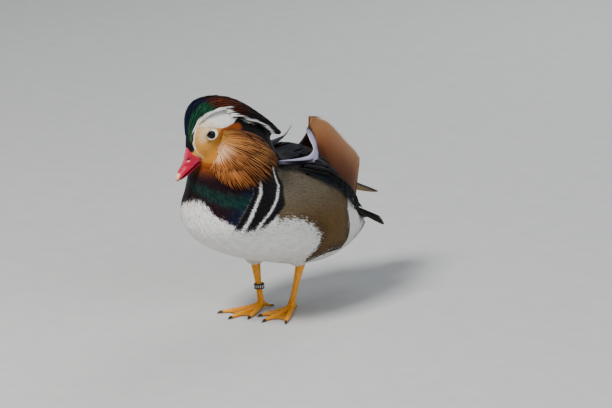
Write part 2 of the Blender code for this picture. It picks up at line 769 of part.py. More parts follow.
def make_wing(side, surface):
    """The folded wing: a pad along the back's side, a tier of secondaries and the long primaries."""
    sign = 1 if side == "left" else -1
    steps = [2 * math.pi * k / WING_SIDES for k in range(WING_SIDES)]
    along = Vector((0, 1, -0.35)).normalized()
    rings = []
    for i in range(WING_RINGS):
        share = i / (WING_RINGS - 1)
        forward, left, up = between(WING_PAD, share)
        size = between([(s,) for s in WING_PAD_SIZE], share)[0]
        thick = between([(s,) for s in WING_PAD_THICK], share)[0]
        centre, normal = surface.lay(place(forward, sign * left, up), 0.0)
        across = normal.cross(along).normalized()
        wide, deep = across * size * MM, normal * thick * MM
        rings.append([centre + wide * math.cos(a) + deep * math.sin(a) for a in steps])
    first, last = (place(forward, sign * left, up) for forward, left, up in PRIMARY_ROOT)
    bar, _ = surface.strand(first, last, len(PRIMARY_ROOT_SIZE), lambda t: 0.8 * t)
    pieces = [joined("wing_" + side, [loft("wing_pad", rings), tube("wing_bar", bar, PRIMARY_ROOT_SIZE)])]
    last_share, length = SECONDARY_SHARE
    for i in range(SECONDARY_COUNT):
        share = last_share * i / (SECONDARY_COUNT - 1)
        start = between(WING_PAD, share)
        end = between(WING_PAD, share + length)
        first = place(start[0], sign * (start[1] + 5), start[2] - 7)
        last = place(end[0], sign * (end[1] + 6), end[2] - 10)
        height = FEATHER_STEP * (i % 2)
        points, normals = surface.strand(first, last, 5, lambda t: height + 4.2 * min(1, 3 * t))
        pieces.append(vane("secondary", points, normals, feather_widths(WING_FEATHER, 5)))
    outward, down = PRIMARY_APART
    facing = Vector((sign * 0.5, 0.2, 0.85))
    for i in range(PRIMARY_COUNT):
        reach = 1 - PRIMARY_STEP * i / (PRIMARY_COUNT - 1)
        spine = []
        for k in range(6):
            t = k / 5 * reach
            forward, left, up = between(PRIMARY_LINE, t)
            rise = down * (PRIMARY_COUNT - 1 - i) - outward * i * t
            spine.append(place(forward, sign * (left + outward * i), up + rise))
        pieces.append(vane("primary", spine, [facing] * 6, feather_widths(WING_FEATHER, 6, root=0.8)))
    return pieces


def make_scapulars(side, surface):
    """The black shoulder feathers of one side, overlapping, and the lilac one with its end turned up."""
    sign = 1 if side == "left" else -1
    (forward, left, up), size = SCAPULAR_PAD
    pieces = [ball("scapulars_" + side, place(forward, sign * left, up), size, None, 8, 12)]
    low, more = SCAPULAR_RISE
    for i, (start, end, width) in enumerate(SCAPULARS):
        first = place(start[0], sign * start[1], start[2])
        last = place(end[0], sign * end[1], end[2])
        height = low + FEATHER_STEP * (i % 2)
        points, normals = surface.strand(first, last, 5, lambda t: height + more * t)
        pieces.append(vane("scapular", points, normals, feather_widths(width, 5)))
    spine, normals = [], []
    for i in range(9):
        forward, left, up = between(PLUME, i / 8)
        ahead, out, rise = between(PLUME_FACING, i / 8)
        spine.append(place(forward, sign * left, up))
        normals.append(Vector((sign * out, -ahead, rise)))
    widths = feather_widths(PLUME_WIDTH, 9, root=0.5, tip=0.1)
    pieces.append(vane("plume", spine, normals, widths, PLUME_THICK))
    return joined("scapulars_" + side, pieces)


def make_tail(torso):
    """Tail feathers fanned from the rump in two tiers, with the upper coverts over them."""
    root, root_up = TAIL_ROOT
    pieces = [ball("tail", place(root - RUMP_PAD[1] * 0.7, 0, root_up - RUMP_PAD[2]), RUMP_PAD, None, 6, 12)]
    for i in range(TAIL_FEATHERS):
        side = 1 if i % 2 else -1
        order = i // 2
        angle = side * TAIL_SPREAD * (order + 0.5) / (TAIL_FEATHERS / 2)
        length = (root - TAIL_TIP) * (1 - 0.045 * order)
        out = side * (1.2 + 1.9 * order)
        height = root_up + RUMP_PAD[2] - FEATHER_STEP * i
        spine = []
        for k in range(4):
            t = k / 3
            left = out + length * t * math.sin(angle)
            up = height + (TAIL_HEIGHT - root_up) * t
            spine.append(place(root - length * t * math.cos(angle), left, up))
        normals = [Vector((side * 0.08 * order, 0, 1))] * 4
        widths = feather_widths(TAIL_FEATHER, 4, root=0.7, tip=0.1)
        pieces.append(vane("tail_feather", spine, normals, widths, TAIL_THICK))
    for i in range(COVERT_COUNT):
        across = 2 * i / (COVERT_COUNT - 1) - 1
        aside = abs(across)
        start = place(root - 1, across * 9, root_up + 5 - 3 * aside)
        end = place(root - COVERT_LENGTH + 6 * aside, across * 12, root_up - 9 - 2.5 * aside + 0.5 * (i % 2))
        spine = [start.lerp(end, k / 3) for k in range(4)]
        normals = [Vector((across * 0.35, 0.2, 1))] * 4
        pieces.append(vane("tail_covert", spine, normals, feather_widths(WING_FEATHER, 4)))
    tail = joined("tail", pieces)
    return cut(tail, grown(torso))


def make_leg(side, torso):
    """One shank from hock to ankle, its foot with web and toes flat on the floor, and its claws."""
    hock, ankle = (place(*spot) for spot in LEGS[side])
    top = hock.lerp(ankle, -0.12)
    shank = tube("leg_" + side, [top.lerp(ankle, t) for t, _ in SHANK], [radius for _, radius in SHANK], 10)
    cut(shank, grown(torso))
    sign = 1 if side == "left" else -1
    base = Vector((ankle.x, ankle.y, 0))
    pieces, tips, claws = [], [], []
    for name, angle, length in TOES:
        turn = math.radians(angle) * sign
        ahead = Vector((math.sin(turn), -math.cos(turn), 0))
        spots = [base + (ahead * length * t + Vector((0, 0, up))) * MM for t, up, _ in TOE]
        pieces.append(tube("toe", spots, [radius for _, _, radius in TOE], 7, 0.9))
        tips.append(base + ahead * length * WEB_REACH * MM)
        end = base + ahead * length * MM
        claws.append(make_claw("claw_" + name + "_" + side, end, ahead, 1.5, CLAW_LENGTH))
    for first, second in zip(tips, tips[1:]):
        pieces.append(web("web", base, first, second))
    back = Vector((-sign * 0.35, 1, 0)).normalized()
    spots = [base + (back * step + Vector((0, 0, up))) * MM for step, up, _ in HIND_TOE]
    pieces.append(tube("hind_toe", spots, [radius for _, _, radius in HIND_TOE], 6))
    end = base + back * HIND_TOE[-1][0] * MM
    claws.append(make_claw("claw_hind_" + side, end, back, 1.1, CLAW_LENGTH * 0.7))
    heel_up, heel_size = HEEL
    pieces.append(ball("heel", base + Vector((0, 0, heel_up * MM)), heel_size, None, 8, 10))
    foot = joined("foot_" + side, pieces)
    foot = half(foot, "sole", Vector((0, 0, -GAP / 2 * MM)), Vector((0, 0, 1)), True)
    bpy.data.objects.remove(bpy.data.objects["foot_" + side])
    foot.name = "foot_" + side
    cut(foot, grown(shank))
    return shank, foot, claws


def web(name, base, first, second):
    """The skin between two toes, with a hollow front edge."""
    middle = (first + second) / 2
    dip = base.lerp(middle, WEB_DIP)
    bm = bmesh.new()
    rims = []
    for up in (-0.5, WEB_THICK):
        points = [base, first, first.lerp(dip, 0.55), dip, second.lerp(dip, 0.55), second]
        rims.append([bm.verts.new(point + Vector((0, 0, up * MM))) for point in points])
    for i in range(6):
        j = (i + 1) % 6
        bm.faces.new((rims[0][i], rims[0][j], rims[1][j], rims[1][i]))
    bm.faces.new(rims[0])
    bm.faces.new(rims[1])
    bmesh.ops.triangulate(bm, faces=bm.faces)
    return object_of(name, bm)


def make_claw(name, root, ahead, radius, length):
    """A short hooked claw that meets the toe's end and rests its point on the floor."""
    spots = []
    for t, up in ((0, 1.5), (0.5, 1.5), (0.85, 0.85), (1.0, 0.35)):
        spots.append(root + ahead * (GAP + length * t) * MM + Vector((0, 0, up * MM)))
    radii = (radius * 0.9, radius * 0.8, radius * 0.45, 0.3)
    return tube(name, spots, radii, 5)


def make_band():
    """The ring round the right shank, loose and a little tilted."""
    hock, ankle = (place(*spot) for spot in LEGS["right"])
    axis = (hock - ankle).normalized()
    aside = Vector((0, 1, 0)).cross(axis).normalized()
    middle = hock.lerp(ankle, BAND_PLACE) + aside * BAND_SHIFT * MM
    lean = Matrix.Rotation(BAND_TILT, 3, axis.cross(aside))
    turn = lean @ axis.to_track_quat("Z", "Y").to_matrix()
    bm = bmesh.new()
    loops = []
    for radius, up in ((BAND_INNER, -1), (BAND_OUTER, -1), (BAND_OUTER, 1), (BAND_INNER, 1)):
        ring = []
        for k in range(BAND_SIDES):
            a = 2 * math.pi * k / BAND_SIDES
            spot = Vector((radius * math.cos(a), radius * math.sin(a), up * BAND_HEIGHT / 2)) * MM
            ring.append(bm.verts.new(middle + turn @ spot))
        loops.append(ring)
    for low, high in zip(loops, loops[1:] + loops[:1]):
        for k in range(BAND_SIDES):
            j = (k + 1) % BAND_SIDES
            bm.faces.new((low[k], low[j], high[j], high[k]))
    bmesh.ops.triangulate(bm, faces=bm.faces)
    return object_of("leg_band", bm)


def paint(obj, colour):
    """Gives the object its own material in one of the bird's colours."""
    red, green, blue, rough, metal = COLOURS[colour]
    material = bpy.data.materials.new(obj.name)
    material.use_nodes = True
    shader = material.node_tree.nodes["Principled BSDF"]
    shader.inputs["Base Color"].default_value = (red, green, blue, 1)
    shader.inputs["Roughness"].default_value = rough
    shader.inputs["Metallic"].default_value = metal
    obj.data.materials.clear()
    obj.data.materials.append(material)
    obj.data.shade_smooth()
    obj.data.set_sharp_from_angle(angle=math.radians(40))


def main():
    for obj in list(bpy.data.objects):
        bpy.data.objects.remove(obj)
    body = make_body()
    surface = Surface(body)
    head, neck, torso = part_body(body)
    head, eyes = make_eyes(head)
    upper, lower = make_bill(head)
    crest = make_crest(head, neck, torso)
    paint(head, "buff")
    paint(neck, "breast")
    paint(torso, "flank")
    paint(crest, "crest")
    paint(upper, "bill")
    paint(lower, "bill")
    for eye in eyes:
        paint(eye, "eye")
    for side in ("left", "right"):
        ruff = make_ruff(side, surface, (head, neck, torso))
        paint(ruff, "ruff")
        feathers = make_wing(side, surface)
        pad_room = grown(feathers[0])
        wing = cut(joined("wing_" + side, feathers), grown(torso), grown(neck), grown(ruff))
        paint(wing, "wing")
        scapulars = cut(make_scapulars(side, surface), grown(torso), grown(neck), grown(wing), grown(ruff))
        paint(scapulars, "black")
        sail = cut(make_sail(side), grown(torso), pad_room)
        paint(sail, "sail")
        shank, foot, claws = make_leg(side, torso)
        paint(shank, "leg")
        paint(foot, "leg")
        for claw in claws:
            paint(claw, "claw")
    paint(make_tail(torso), "wing")
    paint(make_band(), "band")
    bpy.data.objects.remove(body)


main()
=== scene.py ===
import math

import bmesh
import bpy
import numpy as np
from mathutils import Matrix, Vector
from mathutils.bvhtree import BVHTree


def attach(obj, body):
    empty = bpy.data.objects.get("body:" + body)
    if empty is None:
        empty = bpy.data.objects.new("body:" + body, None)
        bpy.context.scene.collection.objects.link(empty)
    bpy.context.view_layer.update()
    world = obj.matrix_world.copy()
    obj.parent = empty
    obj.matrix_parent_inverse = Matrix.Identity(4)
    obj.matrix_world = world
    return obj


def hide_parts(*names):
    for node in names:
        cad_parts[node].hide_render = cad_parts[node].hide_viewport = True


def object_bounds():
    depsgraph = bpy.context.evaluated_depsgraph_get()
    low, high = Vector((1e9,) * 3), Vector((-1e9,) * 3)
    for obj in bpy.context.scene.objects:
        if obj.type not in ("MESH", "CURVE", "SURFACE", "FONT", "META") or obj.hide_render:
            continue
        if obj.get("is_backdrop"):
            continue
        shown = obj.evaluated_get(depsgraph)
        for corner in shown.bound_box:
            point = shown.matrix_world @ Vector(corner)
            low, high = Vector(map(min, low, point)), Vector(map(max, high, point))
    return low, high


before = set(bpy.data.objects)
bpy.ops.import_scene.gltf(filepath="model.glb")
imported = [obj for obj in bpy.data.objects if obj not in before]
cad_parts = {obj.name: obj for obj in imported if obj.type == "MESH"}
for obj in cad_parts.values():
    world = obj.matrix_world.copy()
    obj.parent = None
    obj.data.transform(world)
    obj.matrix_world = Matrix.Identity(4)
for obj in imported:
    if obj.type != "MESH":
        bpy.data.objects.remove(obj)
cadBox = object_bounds()
rng = np.random.default_rng(11)
mm = 0.001
sides = {1: "Left", -1: "Right"}  # by the sign of the way left
upright = np.array([0, 0, 1.0])

# head: bent down and turned to the bird's right; rows of headAxes are its ahead, left and up
headAt = np.array([99.5, -5.6, 192.0])
headTurn, headNod = math.radians(24), math.radians(38)
headAxes = np.array([
    [math.cos(headNod) * math.cos(headTurn), -math.cos(headNod) * math.sin(headTurn), -math.sin(headNod)],
    [math.sin(headTurn), math.cos(headTurn), 0],
    [math.sin(headNod) * math.cos(headTurn), -math.sin(headNod) * math.sin(headTurn), math.cos(headNod)]])


def toWorld(p):
    p = np.asarray(p, float)
    return np.stack([p[..., 1], -16 - p[..., 0], p[..., 2]], -1) * mm


def toBird(w):
    w = np.asarray(w, float) / mm
    return np.stack([-16 - w[..., 1], w[..., 0], w[..., 2]], -1)


def worldWay(way):
    return Vector((way[1], -way[0], way[2]))


def circle(turns):
    return np.linspace(0, 2 * math.pi, turns, endpoint=False)


def headPlace(h):
    return headAt + np.asarray(h, float) @ headAxes


def inHead(p):
    return (np.asarray(p, float) - headAt) @ headAxes.T


def along(rows, t):
    # smooth curve through the rows, t from 0 to 1
    rows = np.asarray(rows, float)
    if rows.ndim == 1:
        rows = rows[:, None]
    last = len(rows) - 1
    t = np.clip(np.asarray(t, float), 0, 1) * last
    i = np.minimum(t.astype(int), last - 1)
    f = (t - i)[..., None]
    a, b, c, d = rows[np.maximum(i - 1, 0)], rows[i], rows[i + 1], rows[np.minimum(i + 2, last)]
    return 0.5 * (2 * b + (c - a) * f + (2 * a - 5 * b + 4 * c - d) * f ** 2 + (3 * b - a - 3 * c + d) * f ** 3)


def ease(x, low, high):
    x = np.clip((np.asarray(x, float) - low) / (high - low), 0, 1)
    return x * x * (3 - 2 * x)


def unit(v):
    return v / np.maximum(np.linalg.norm(v, axis=-1, keepdims=True), 1e-9)


def flip(p, sign):
    return np.asarray(p, float) * (1, sign, 1)


def leftSide(p):
    return np.stack([p[:, 0], np.abs(p[:, 1]), p[:, 2]], 1)


def blend(a, b, share):
    # from a to b by a share for each place; a colour may be given by its tone's name
    a, b = (tone[c] if isinstance(c, str) else np.asarray(c) for c in (a, b))
    share = np.asarray(share, float)[..., None]
    return a * (1 - share) + b * share


def noise(p, size, seed=0):
    # cheap smooth noise from a few crossed waves, about -1 to 1
    total = np.zeros(np.shape(p)[:-1])
    waves = np.random.default_rng(100 + seed)
    for k in range(6):
        way = unit(waves.normal(size=3)) * waves.uniform(.7, 1.5) * 2 * math.pi / size
        total = total + np.sin(np.asarray(p) @ way + waves.uniform(0, 6.3))
    return total / 3


def placed(name, data):
    obj = bpy.data.objects.new(name, data)
    bpy.context.scene.collection.objects.link(obj)
    return obj


def finishMesh(name, bm, material=None):
    bmesh.ops.recalc_face_normals(bm, faces=bm.faces)
    mesh = bpy.data.meshes.new(name)
    bm.to_mesh(mesh)
    bm.free()
    mesh.polygons.foreach_set("use_smooth", [True] * len(mesh.polygons))
    if material:
        mesh.materials.append(material)
    return placed(name, mesh)


def remeshed(raw, voxel, rounds):
    # the raw piece fused by voxels and smoothed, as a bmesh; the raw piece goes
    fuse = raw.modifiers.new("fuse", "REMESH")
    fuse.mode, fuse.voxel_size = "VOXEL", voxel * mm
    soft = raw.modifiers.new("soft", "SMOOTH")
    soft.factor, soft.iterations = .5, rounds
    mesh = bpy.data.meshes.new_from_object(raw.evaluated_get(bpy.context.evaluated_depsgraph_get()))
    bpy.data.objects.remove(raw)
    bm = bmesh.new()
    bm.from_mesh(mesh)
    bm.normal_update()
    return bm


def pushOut(bm, steps):
    # each vertex along its normal, in mm
    for v, step in zip(bm.verts, steps):
        v.co += v.normal * float(step) * mm


def ball(bm, place, sizes=(1, 1, 1), radius=1.0):
    made = bmesh.ops.create_icosphere(bm, subdivisions=3, radius=radius * mm)["verts"]
    bmesh.ops.scale(bm, verts=made, vec=sizes)
    bmesh.ops.translate(bm, verts=made, vec=toWorld(place))


def loft(bm, rings, caps=True, wrap=False):
    # rings of bird places become circles, bridged in turn
    loops = []
    for ring in rings:
        made = bmesh.ops.create_circle(bm, segments=len(ring), radius=mm)["verts"]
        for v, p in zip(made, toWorld(ring)):
            v.co = p
        loops.append(made)
    rims = [list({e for v in loop for e in v.link_edges}) for loop in loops]
    for low, high in zip(rims, rims[1:] + rims[:1] if wrap else rims[1:]):
        bmesh.ops.bridge_loops(bm, edges=low + high)
    if caps:
        for rim in (rims[0], rims[-1]):
            bmesh.ops.contextual_create(bm, geom=rim)


def ellipse(centre, across, upward, turns):
    a = circle(turns)[:, None]
    return centre + across * np.cos(a) + upward * np.sin(a)


def arrayMesh(name, points, faces, material, layers, patch):
    # one mesh of n like shapes: points (n, k, 3), faces of one shape, layers of point values, patch of uv places
    n, k = points.shape[:2]
    mesh = bpy.data.meshes.new(name)
    counts = np.tile([len(f) for f in faces], n)
    corners = (np.concatenate([np.array(f) for f in faces])[None] + k * np.arange(n)[:, None]).ravel()
    mesh.vertices.add(n * k)
    mesh.vertices.foreach_set("co", toWorld(points).ravel())
    mesh.loops.add(len(corners))
    mesh.loops.foreach_set("vertex_index", corners.astype(np.int32))
    mesh.polygons.add(len(counts))
    mesh.polygons.foreach_set("loop_start", np.concatenate([[0], np.cumsum(counts)[:-1]]).astype(np.int32))
    mesh.polygons.foreach_set("use_smooth", np.ones(len(counts), bool))
    mesh.update(calc_edges=True)
    for title, values in layers.items():
        kind = "FLOAT_COLOR" if values.shape[-1] == 4 else "FLOAT_VECTOR"
        layer = mesh.attributes.new(title, kind, "POINT")
        layer.data.foreach_set("color" if kind == "FLOAT_COLOR" else "vector", values.reshape(-1).astype(np.float32))
    if patch.shape[1] == k:  # given by point, not by corner
        patch = patch.reshape(-1, 2)[corners]
    mesh.uv_layers.new(name="OFBake").data.foreach_set("uv", patch.ravel().astype(np.float32))
    mesh.materials.append(material)
    print(name, n)
    return placed(name, mesh)


def keep(obj, slot, *nodes):
    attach(obj, "root")
    if nodes:
        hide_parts(*nodes)


# materials: procedural, read from Object coordinates or the pieces' own attributes
def feed(tree, socket, value):
    # a link where value is a node's output, else a plain value
    if isinstance(value, bpy.types.NodeSocket):
        tree.links.new(value, socket)
    else:
        socket.default_value = value


def node(tree, kind, inputs=None, **settings):
    made = tree.nodes.new("ShaderNode" + kind)
    for key, value in settings.items():
        setattr(made, key, value)
    for key, value in (inputs or {}).items():
        feed(tree, made.inputs[key], value)
    return made


def math2(tree, operation, a, b=0.0):
    return node(tree, "Math", {0: a, 1: b}, operation=operation).outputs[0]


def mixColour(tree, kind, factor, a, b):
    return node(tree, "Mix", {0: factor, 6: a, 7: b}, data_type="RGBA", blend_type=kind).outputs[2]


def attribute(tree, name, output="Color"):
    return node(tree, "Attribute", attribute_name=name).outputs[output]


def objectPlace(tree):
    return node(tree, "TexCoord").outputs["Object"]


def noiseOf(tree, place, scale, detail):
    return node(tree, "TexNoise", {"Vector": place, "Scale": scale, "Detail": detail}).outputs["Fac"]


def newMaterial(name):
    mat = bpy.data.materials.new(name)
    mat.use_nodes = True
    return mat, mat.node_tree, mat.node_tree.nodes["Principled BSDF"]


def dress(tree, shader, colour, fine, grain, strength, inputs):
    # colour darkened by the grain's depth, bumps from the same fine pattern, and the rest by name
    shade = math2(tree, "ADD", math2(tree, "MULTIPLY", fine, grain), 1 - grain / 2)
    grey = node(tree, "CombineColor", {"Red": shade, "Green": shade, "Blue": shade}).outputs["Color"]
    feed(tree, shader.inputs["Base Color"], mixColour(tree, "MULTIPLY", 1.0, colour, grey))
    bump = node(tree, "Bump", {"Height": fine, "Strength": strength, "Distance": .0003})
    feed(tree, shader.inputs["Normal"], bump.outputs["Normal"])
    for title, value in inputs.items():
        feed(tree, shader.inputs[title], value)


def finishParts(tree):
    # the finish layer's gloss, bars and roughness
    parts = node(tree, "SeparateColor", {"Color": attribute(tree, "finish")})
    return parts.outputs["Red"], parts.outputs["Green"], parts.outputs["Blue"]


def coatMaterial(name, grain=1.0):
    # colour and finish come with each tuft; fine wavy bars where finish asks for them
    mat, tree, shader = newMaterial(name)
    place = objectPlace(tree)
    gloss, barred, rough = finishParts(tree)
    fine = noiseOf(tree, place, 1500.0, 2.0)
    bars = node(tree, "TexWave", {"Vector": place, "Scale": 620.0, "Distortion": 7.0, "Detail": 2.0,
                "Detail Scale": 1.6}, bands_direction="Y").outputs["Fac"]
    dark = math2(tree, "MULTIPLY", math2(tree, "SUBTRACT", 1.0, bars), barred)
    colour = mixColour(tree, "MULTIPLY", dark, attribute(tree, "plumage"), (.22, .16, .1, 1))
    dress(tree, shader, colour, fine, .5 * grain, .25,
          {"Metallic": gloss, "Roughness": rough, "Sheen Weight": .03, "Specular IOR Level": .28})
    return mat


def vaneMaterial(name, barb, sheen, shine=.2):
    # barbs slant away from the shaft; vane holds across mm, along mm and a number of its own
    mat, tree, shader = newMaterial(name)
    gloss, _, rough = finishParts(tree)
    vane = node(tree, "SeparateXYZ", {"Vector": attribute(tree, "vane", "Vector")}).outputs
    aside = math2(tree, "ABSOLUTE", vane["X"])
    slant = math2(tree, "SUBTRACT", vane["Y"], math2(tree, "MULTIPLY", aside, .9))
    spot = node(tree, "CombineXYZ", {"X": math2(tree, "MULTIPLY", slant, 3.0),
                "Y": math2(tree, "MULTIPLY", vane["X"], .35), "Z": math2(tree, "MULTIPLY", vane["Z"], 40.0)})
    barbs = noiseOf(tree, spot.outputs["Vector"], 1.0, 3.0)
    rough = math2(tree, "ADD", rough, math2(tree, "MULTIPLY", barbs, .2))
    dress(tree, shader, attribute(tree, "plumage"), barbs, .9 * barb, .3,
          {"Metallic": gloss, "Sheen Weight": sheen, "Roughness": rough, "Specular IOR Level": shine})
    return mat


def hornMaterial(name, rough, grain, coat=0.0, size=900.0, strength=.2):
    # colour from the mesh, fine streaks and pores over it
    mat, tree, shader = newMaterial(name)
    fine = noiseOf(tree, objectPlace(tree), size, 4.0)
    dress(tree, shader, attribute(tree, "plumage"), fine, grain, strength,
          {"Coat Weight": coat, "Roughness": math2(tree, "ADD", math2(tree, "MULTIPLY", fine, .25), rough)})
    return mat


# skin: head, neck, torso, thighs and the mane's core as one surface
mane = [(18, 10.5), (5, 23.5), (-10, 28), (-25, 21.5), (-37, 9.5), (-45.5, -6), (-51, -24), (-55, -40), (-57, -56)]
maneWidth = [6, 13, 16.5, 17.5, 17, 15, 12, 9, 4]
maneArc = math.radians(78)


def manePlace(t, across, drop=0.0):
    t, across, drop = np.broadcast_arrays(np.asarray(t, float), across, drop)
    middle = along(mane, t)
    run = unit(along(mane, np.minimum(t + .02, 1)) - along(mane, np.maximum(t - .02, 0)))
    width = along(maneWidth, t)[..., 0]
    angle = across * maneArc
    fall = width * .8 * (1 - np.cos(angle)) + drop
    ahead = middle[..., 0] - run[..., 1] * fall
    up = middle[..., 1] + run[..., 0] * fall
    return headPlace(np.stack([ahead, width * np.sin(angle), up], -1))


def maneNormal(t, across):
    t, across = np.broadcast_arrays(np.asarray(t, float), across)
    ahead = manePlace(np.minimum(t + .02, 1), across) - manePlace(np.maximum(t - .02, 0), across)
    side = manePlace(t, across + .05) - manePlace(t, across - .05)
    normal = unit(np.cross(ahead, side))
    away = manePlace(t, across) - manePlace(t, 0, 12.0)
    return normal * np.where((normal * away).sum(-1) > 0, 1, -1)[..., None]


# the skin lies inset mm inside the solids, and shoulder mm further out under the wing's root
skinLook = {"voxel": 1.3, "grow": .45, "smooth": 7, "inset": 1.5, "shoulder": 2.4, "maneDrop": 3.2, "eye": 4.9,
            "thigh": (11.5, 15, 13.5)}
eyeAt = {1: headPlace((0, 13.2, 0)), -1: headPlace((0, -13.2, 0))}
hocks = {1: np.array([-8, 21.5, 41]), -1: np.array([10, -16.5, 40])}
wingPad = [(18, 32, 149), (-8, 34, 143), (-32, 38, 130), (-56, 34, 115), (-77, 26, 95)]


def makeSkin():
    bm = bmesh.new()
    for name in ("torso", "neck", "head"):
        part = bmesh.new()
        part.from_mesh(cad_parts[name].data)
        bmesh.ops.remove_doubles(part, verts=part.verts, dist=1e-6)
        bmesh.ops.recalc_face_normals(part, faces=part.faces)
        part.normal_update()
        pushOut(part, [skinLook["grow"]] * len(part.verts))
        mesh = bpy.data.meshes.new(name + "Copy")
        part.to_mesh(mesh)
        part.free()
        bm.from_mesh(mesh)
        bpy.data.meshes.remove(mesh)
    a, drop = circle(16), skinLook["maneDrop"]
    rings = []
    for t in np.linspace(.03, .95, 15):
        deep = min(11, 3.5 + 20 * t)
        low = np.where(np.sin(a) < 0, drop + deep, drop)
        rings.append(manePlace(t, np.cos(a) * .9, low + (drop + deep / 2 - low) * np.abs(np.cos(a)) ** 3))
    loft(bm, rings)
    for sign in sides:
        ball(bm, eyeAt[sign], radius=skinLook["eye"])
        ball(bm, hocks[sign] + (1, 0, 15), skinLook["thigh"])
    bm = remeshed(finishMesh("skinRaw", bm), skinLook["voxel"], skinLook["smooth"])
    pad = along(wingPad, np.linspace(0, 1, 40))
    near = np.linalg.norm(leftSide(toBird([v.co for v in bm.verts]))[:, None] - pad, axis=-1).min(1)
    pushOut(bm, skinLook["shoulder"] * ease(near, 13, 3) - skinLook["inset"])
    return finishMesh("skin", bm)


def vertexPlaces(obj):
    co = np.empty(len(obj.data.vertices) * 3, np.float32)
    obj.data.vertices.foreach_get("co", co)
    return toBird(co.reshape(-1, 3))


skin = makeSkin()
skinPlaces = vertexPlaces(skin)
skinTree = BVHTree.FromPolygons(skinPlaces.tolist(), [tuple(f.vertices) for f in skin.data.polygons])
print("skin", len(skin.data.polygons))


def lay(places, height=0.0):
    # nearest places on the skin, lifted, and the way out there
    places = np.asarray(places, float)
    found = [skinTree.find_nearest(p) for p in places.reshape(-1, 3).tolist()]
    spot = np.array([f[0] for f in found]).reshape(places.shape)
    out = np.array([f[1] for f in found]).reshape(places.shape)
    height = np.broadcast_to(height, places.shape[:-1])
    return spot + out * height[..., None], out


# markings: one formula for skin and coat
def lineDistance(p, line):
    # shortest way from 2-D or 3-D places to a chain of points
    line = np.asarray(line, float)
    best = np.full(len(p), 1e9)
    for a, b in zip(line, line[1:]):
        step = b - a
        t = np.clip((p - a) @ step / (step @ step), 0, 1)
        best = np.minimum(best, np.linalg.norm(p - (a + t[:, None] * step), axis=1))
    return best


def inside(p, ring):
    # signed distance to a 2-D outline, positive within it
    ring = np.asarray(ring, float)
    closed = np.vstack([ring, ring[:1]])
    within = np.zeros(len(p), bool)
    for a, b in zip(closed, closed[1:]):
        crosses = (a[1] > p[:, 1]) != (b[1] > p[:, 1])
        at = a[0] + (p[:, 1] - a[1]) * (b[0] - a[0]) / (b[1] - a[1] if b[1] != a[1] else 1e-9)
        within ^= crosses & (p[:, 0] < at)
    return lineDistance(p, closed) * np.where(within, 1, -1)


tone = {
    "maroon": (.026, .008, .014), "teal": (.010, .060, .048), "blue": (.010, .016, .045), "black": (.008, .008, .011),
    "white": (.84, .83, .80), "cream": (.80, .63, .40), "buff": (.72, .40, .12), "gold": (.62, .27, .055),
    "chestnut": (.36, .10, .022), "flank": (.20, .112, .030), "flankTop": (.20, .172, .122), "nape": (.016, .010, .012),
    "green": (.018, .088, .046), "lime": (.16, .20, .035), "crown": (.010, .017, .045), "copper": (.17, .042, .022),
    "wine": (.10, .022, .022), "back": (.055, .050, .040), "lilac": (.37, .35, .48), "speck": (.20, .10, .05),
}
tone = {key: np.array(value) for key, value in tone.items()}

# marks on the head's left side (ahead, out, up)
browLine = [(20.2, 9, -4), (18.2, 8.1, 1.8), (12.7, 8.8, 7.7), (5.8, 9, 13.3), (-.9, 11.8, 17.2), (-6.8, 14.3, 18.2),
            (-14, 15.7, 16.4)]
whiteTop = [(-20.8, 15.2, 14.2), (-26.1, 14.9, 12), (-31.4, 12.2, 4.2), (-33.9, 13.7, .2), (-34.6, 14, -5.4),
            (-36.2, 14.2, -12), (-39.8, 13.2, -19), (-42.1, 11.9, -24.8)]
whiteLow = [(-41.2, 12.3, -26), (-37, 13.9, -14.6), (-33.4, 15.9, -9), (-28.6, 16, -8), (-22.8, 17.4, -7.4),
            (-16.8, 18.3, -5.2), (-11.3, 18.5, -2.2), (-4, 15.5, 5.5), (2, 12.6, 10.5), (5.8, 9.5, 13)]
streaks = ([(-42.1, 11.9, -24.3), (-47.4, 9.2, -37.4), (-50.7, 6.4, -51.3)],
           [(-43.3, 10.8, -34.2), (-45.8, 9.4, -42.7)])
ruffEdge = [(16.9, 10.5, -20.7), (10.6, 12.8, -19.4), (3.1, 14.6, -15.2), (-2.9, 16.7, -10.9), (-9.5, 18.4, -4.5),
            (-14.4, 18.3, -5.3), (-23.3, 16.6, -12.8)]
billEdge = [(20.2, 9, -4), (20.4, 9.2, -9), (18.6, 9, -15.4)]
overCrown = [(-57, -10, -60), (-51, -9, -24), (-45, -8, -6), (-37, -7, 9.5), (-25, -6, 21.5), (-10, -6, 28),
             (5, -6, 23), (18, -5, 10), (24, -5, -2)]


def sideMap(h):
    # one side of the head unrolled round its eye; mm at 16 mm from the middle
    h = np.asarray(h, float)
    lean = np.arccos(np.clip(h[:, 1] / np.linalg.norm(h, axis=1), -1, 1)) * 16
    turned = np.arctan2(h[:, 2], h[:, 0])
    return np.stack([lean * np.cos(turned), lean * np.sin(turned)], 1)


whiteField = sideMap(whiteLow + [(-.9, 11.8, 17.2), (-6.8, 14.3, 18.2), (-14, 15.7, 16.4)] + whiteTop)
crownField = sideMap(browLine + whiteTop + [(-47, 10, -36), (-51, 7, -50), (-54, 4, -62)] + overCrown)
faceField = sideMap([(26, 2, -24)] + ruffEdge[:5] + whiteLow[6:] + browLine[3::-1] + [(30, -6, -4)])

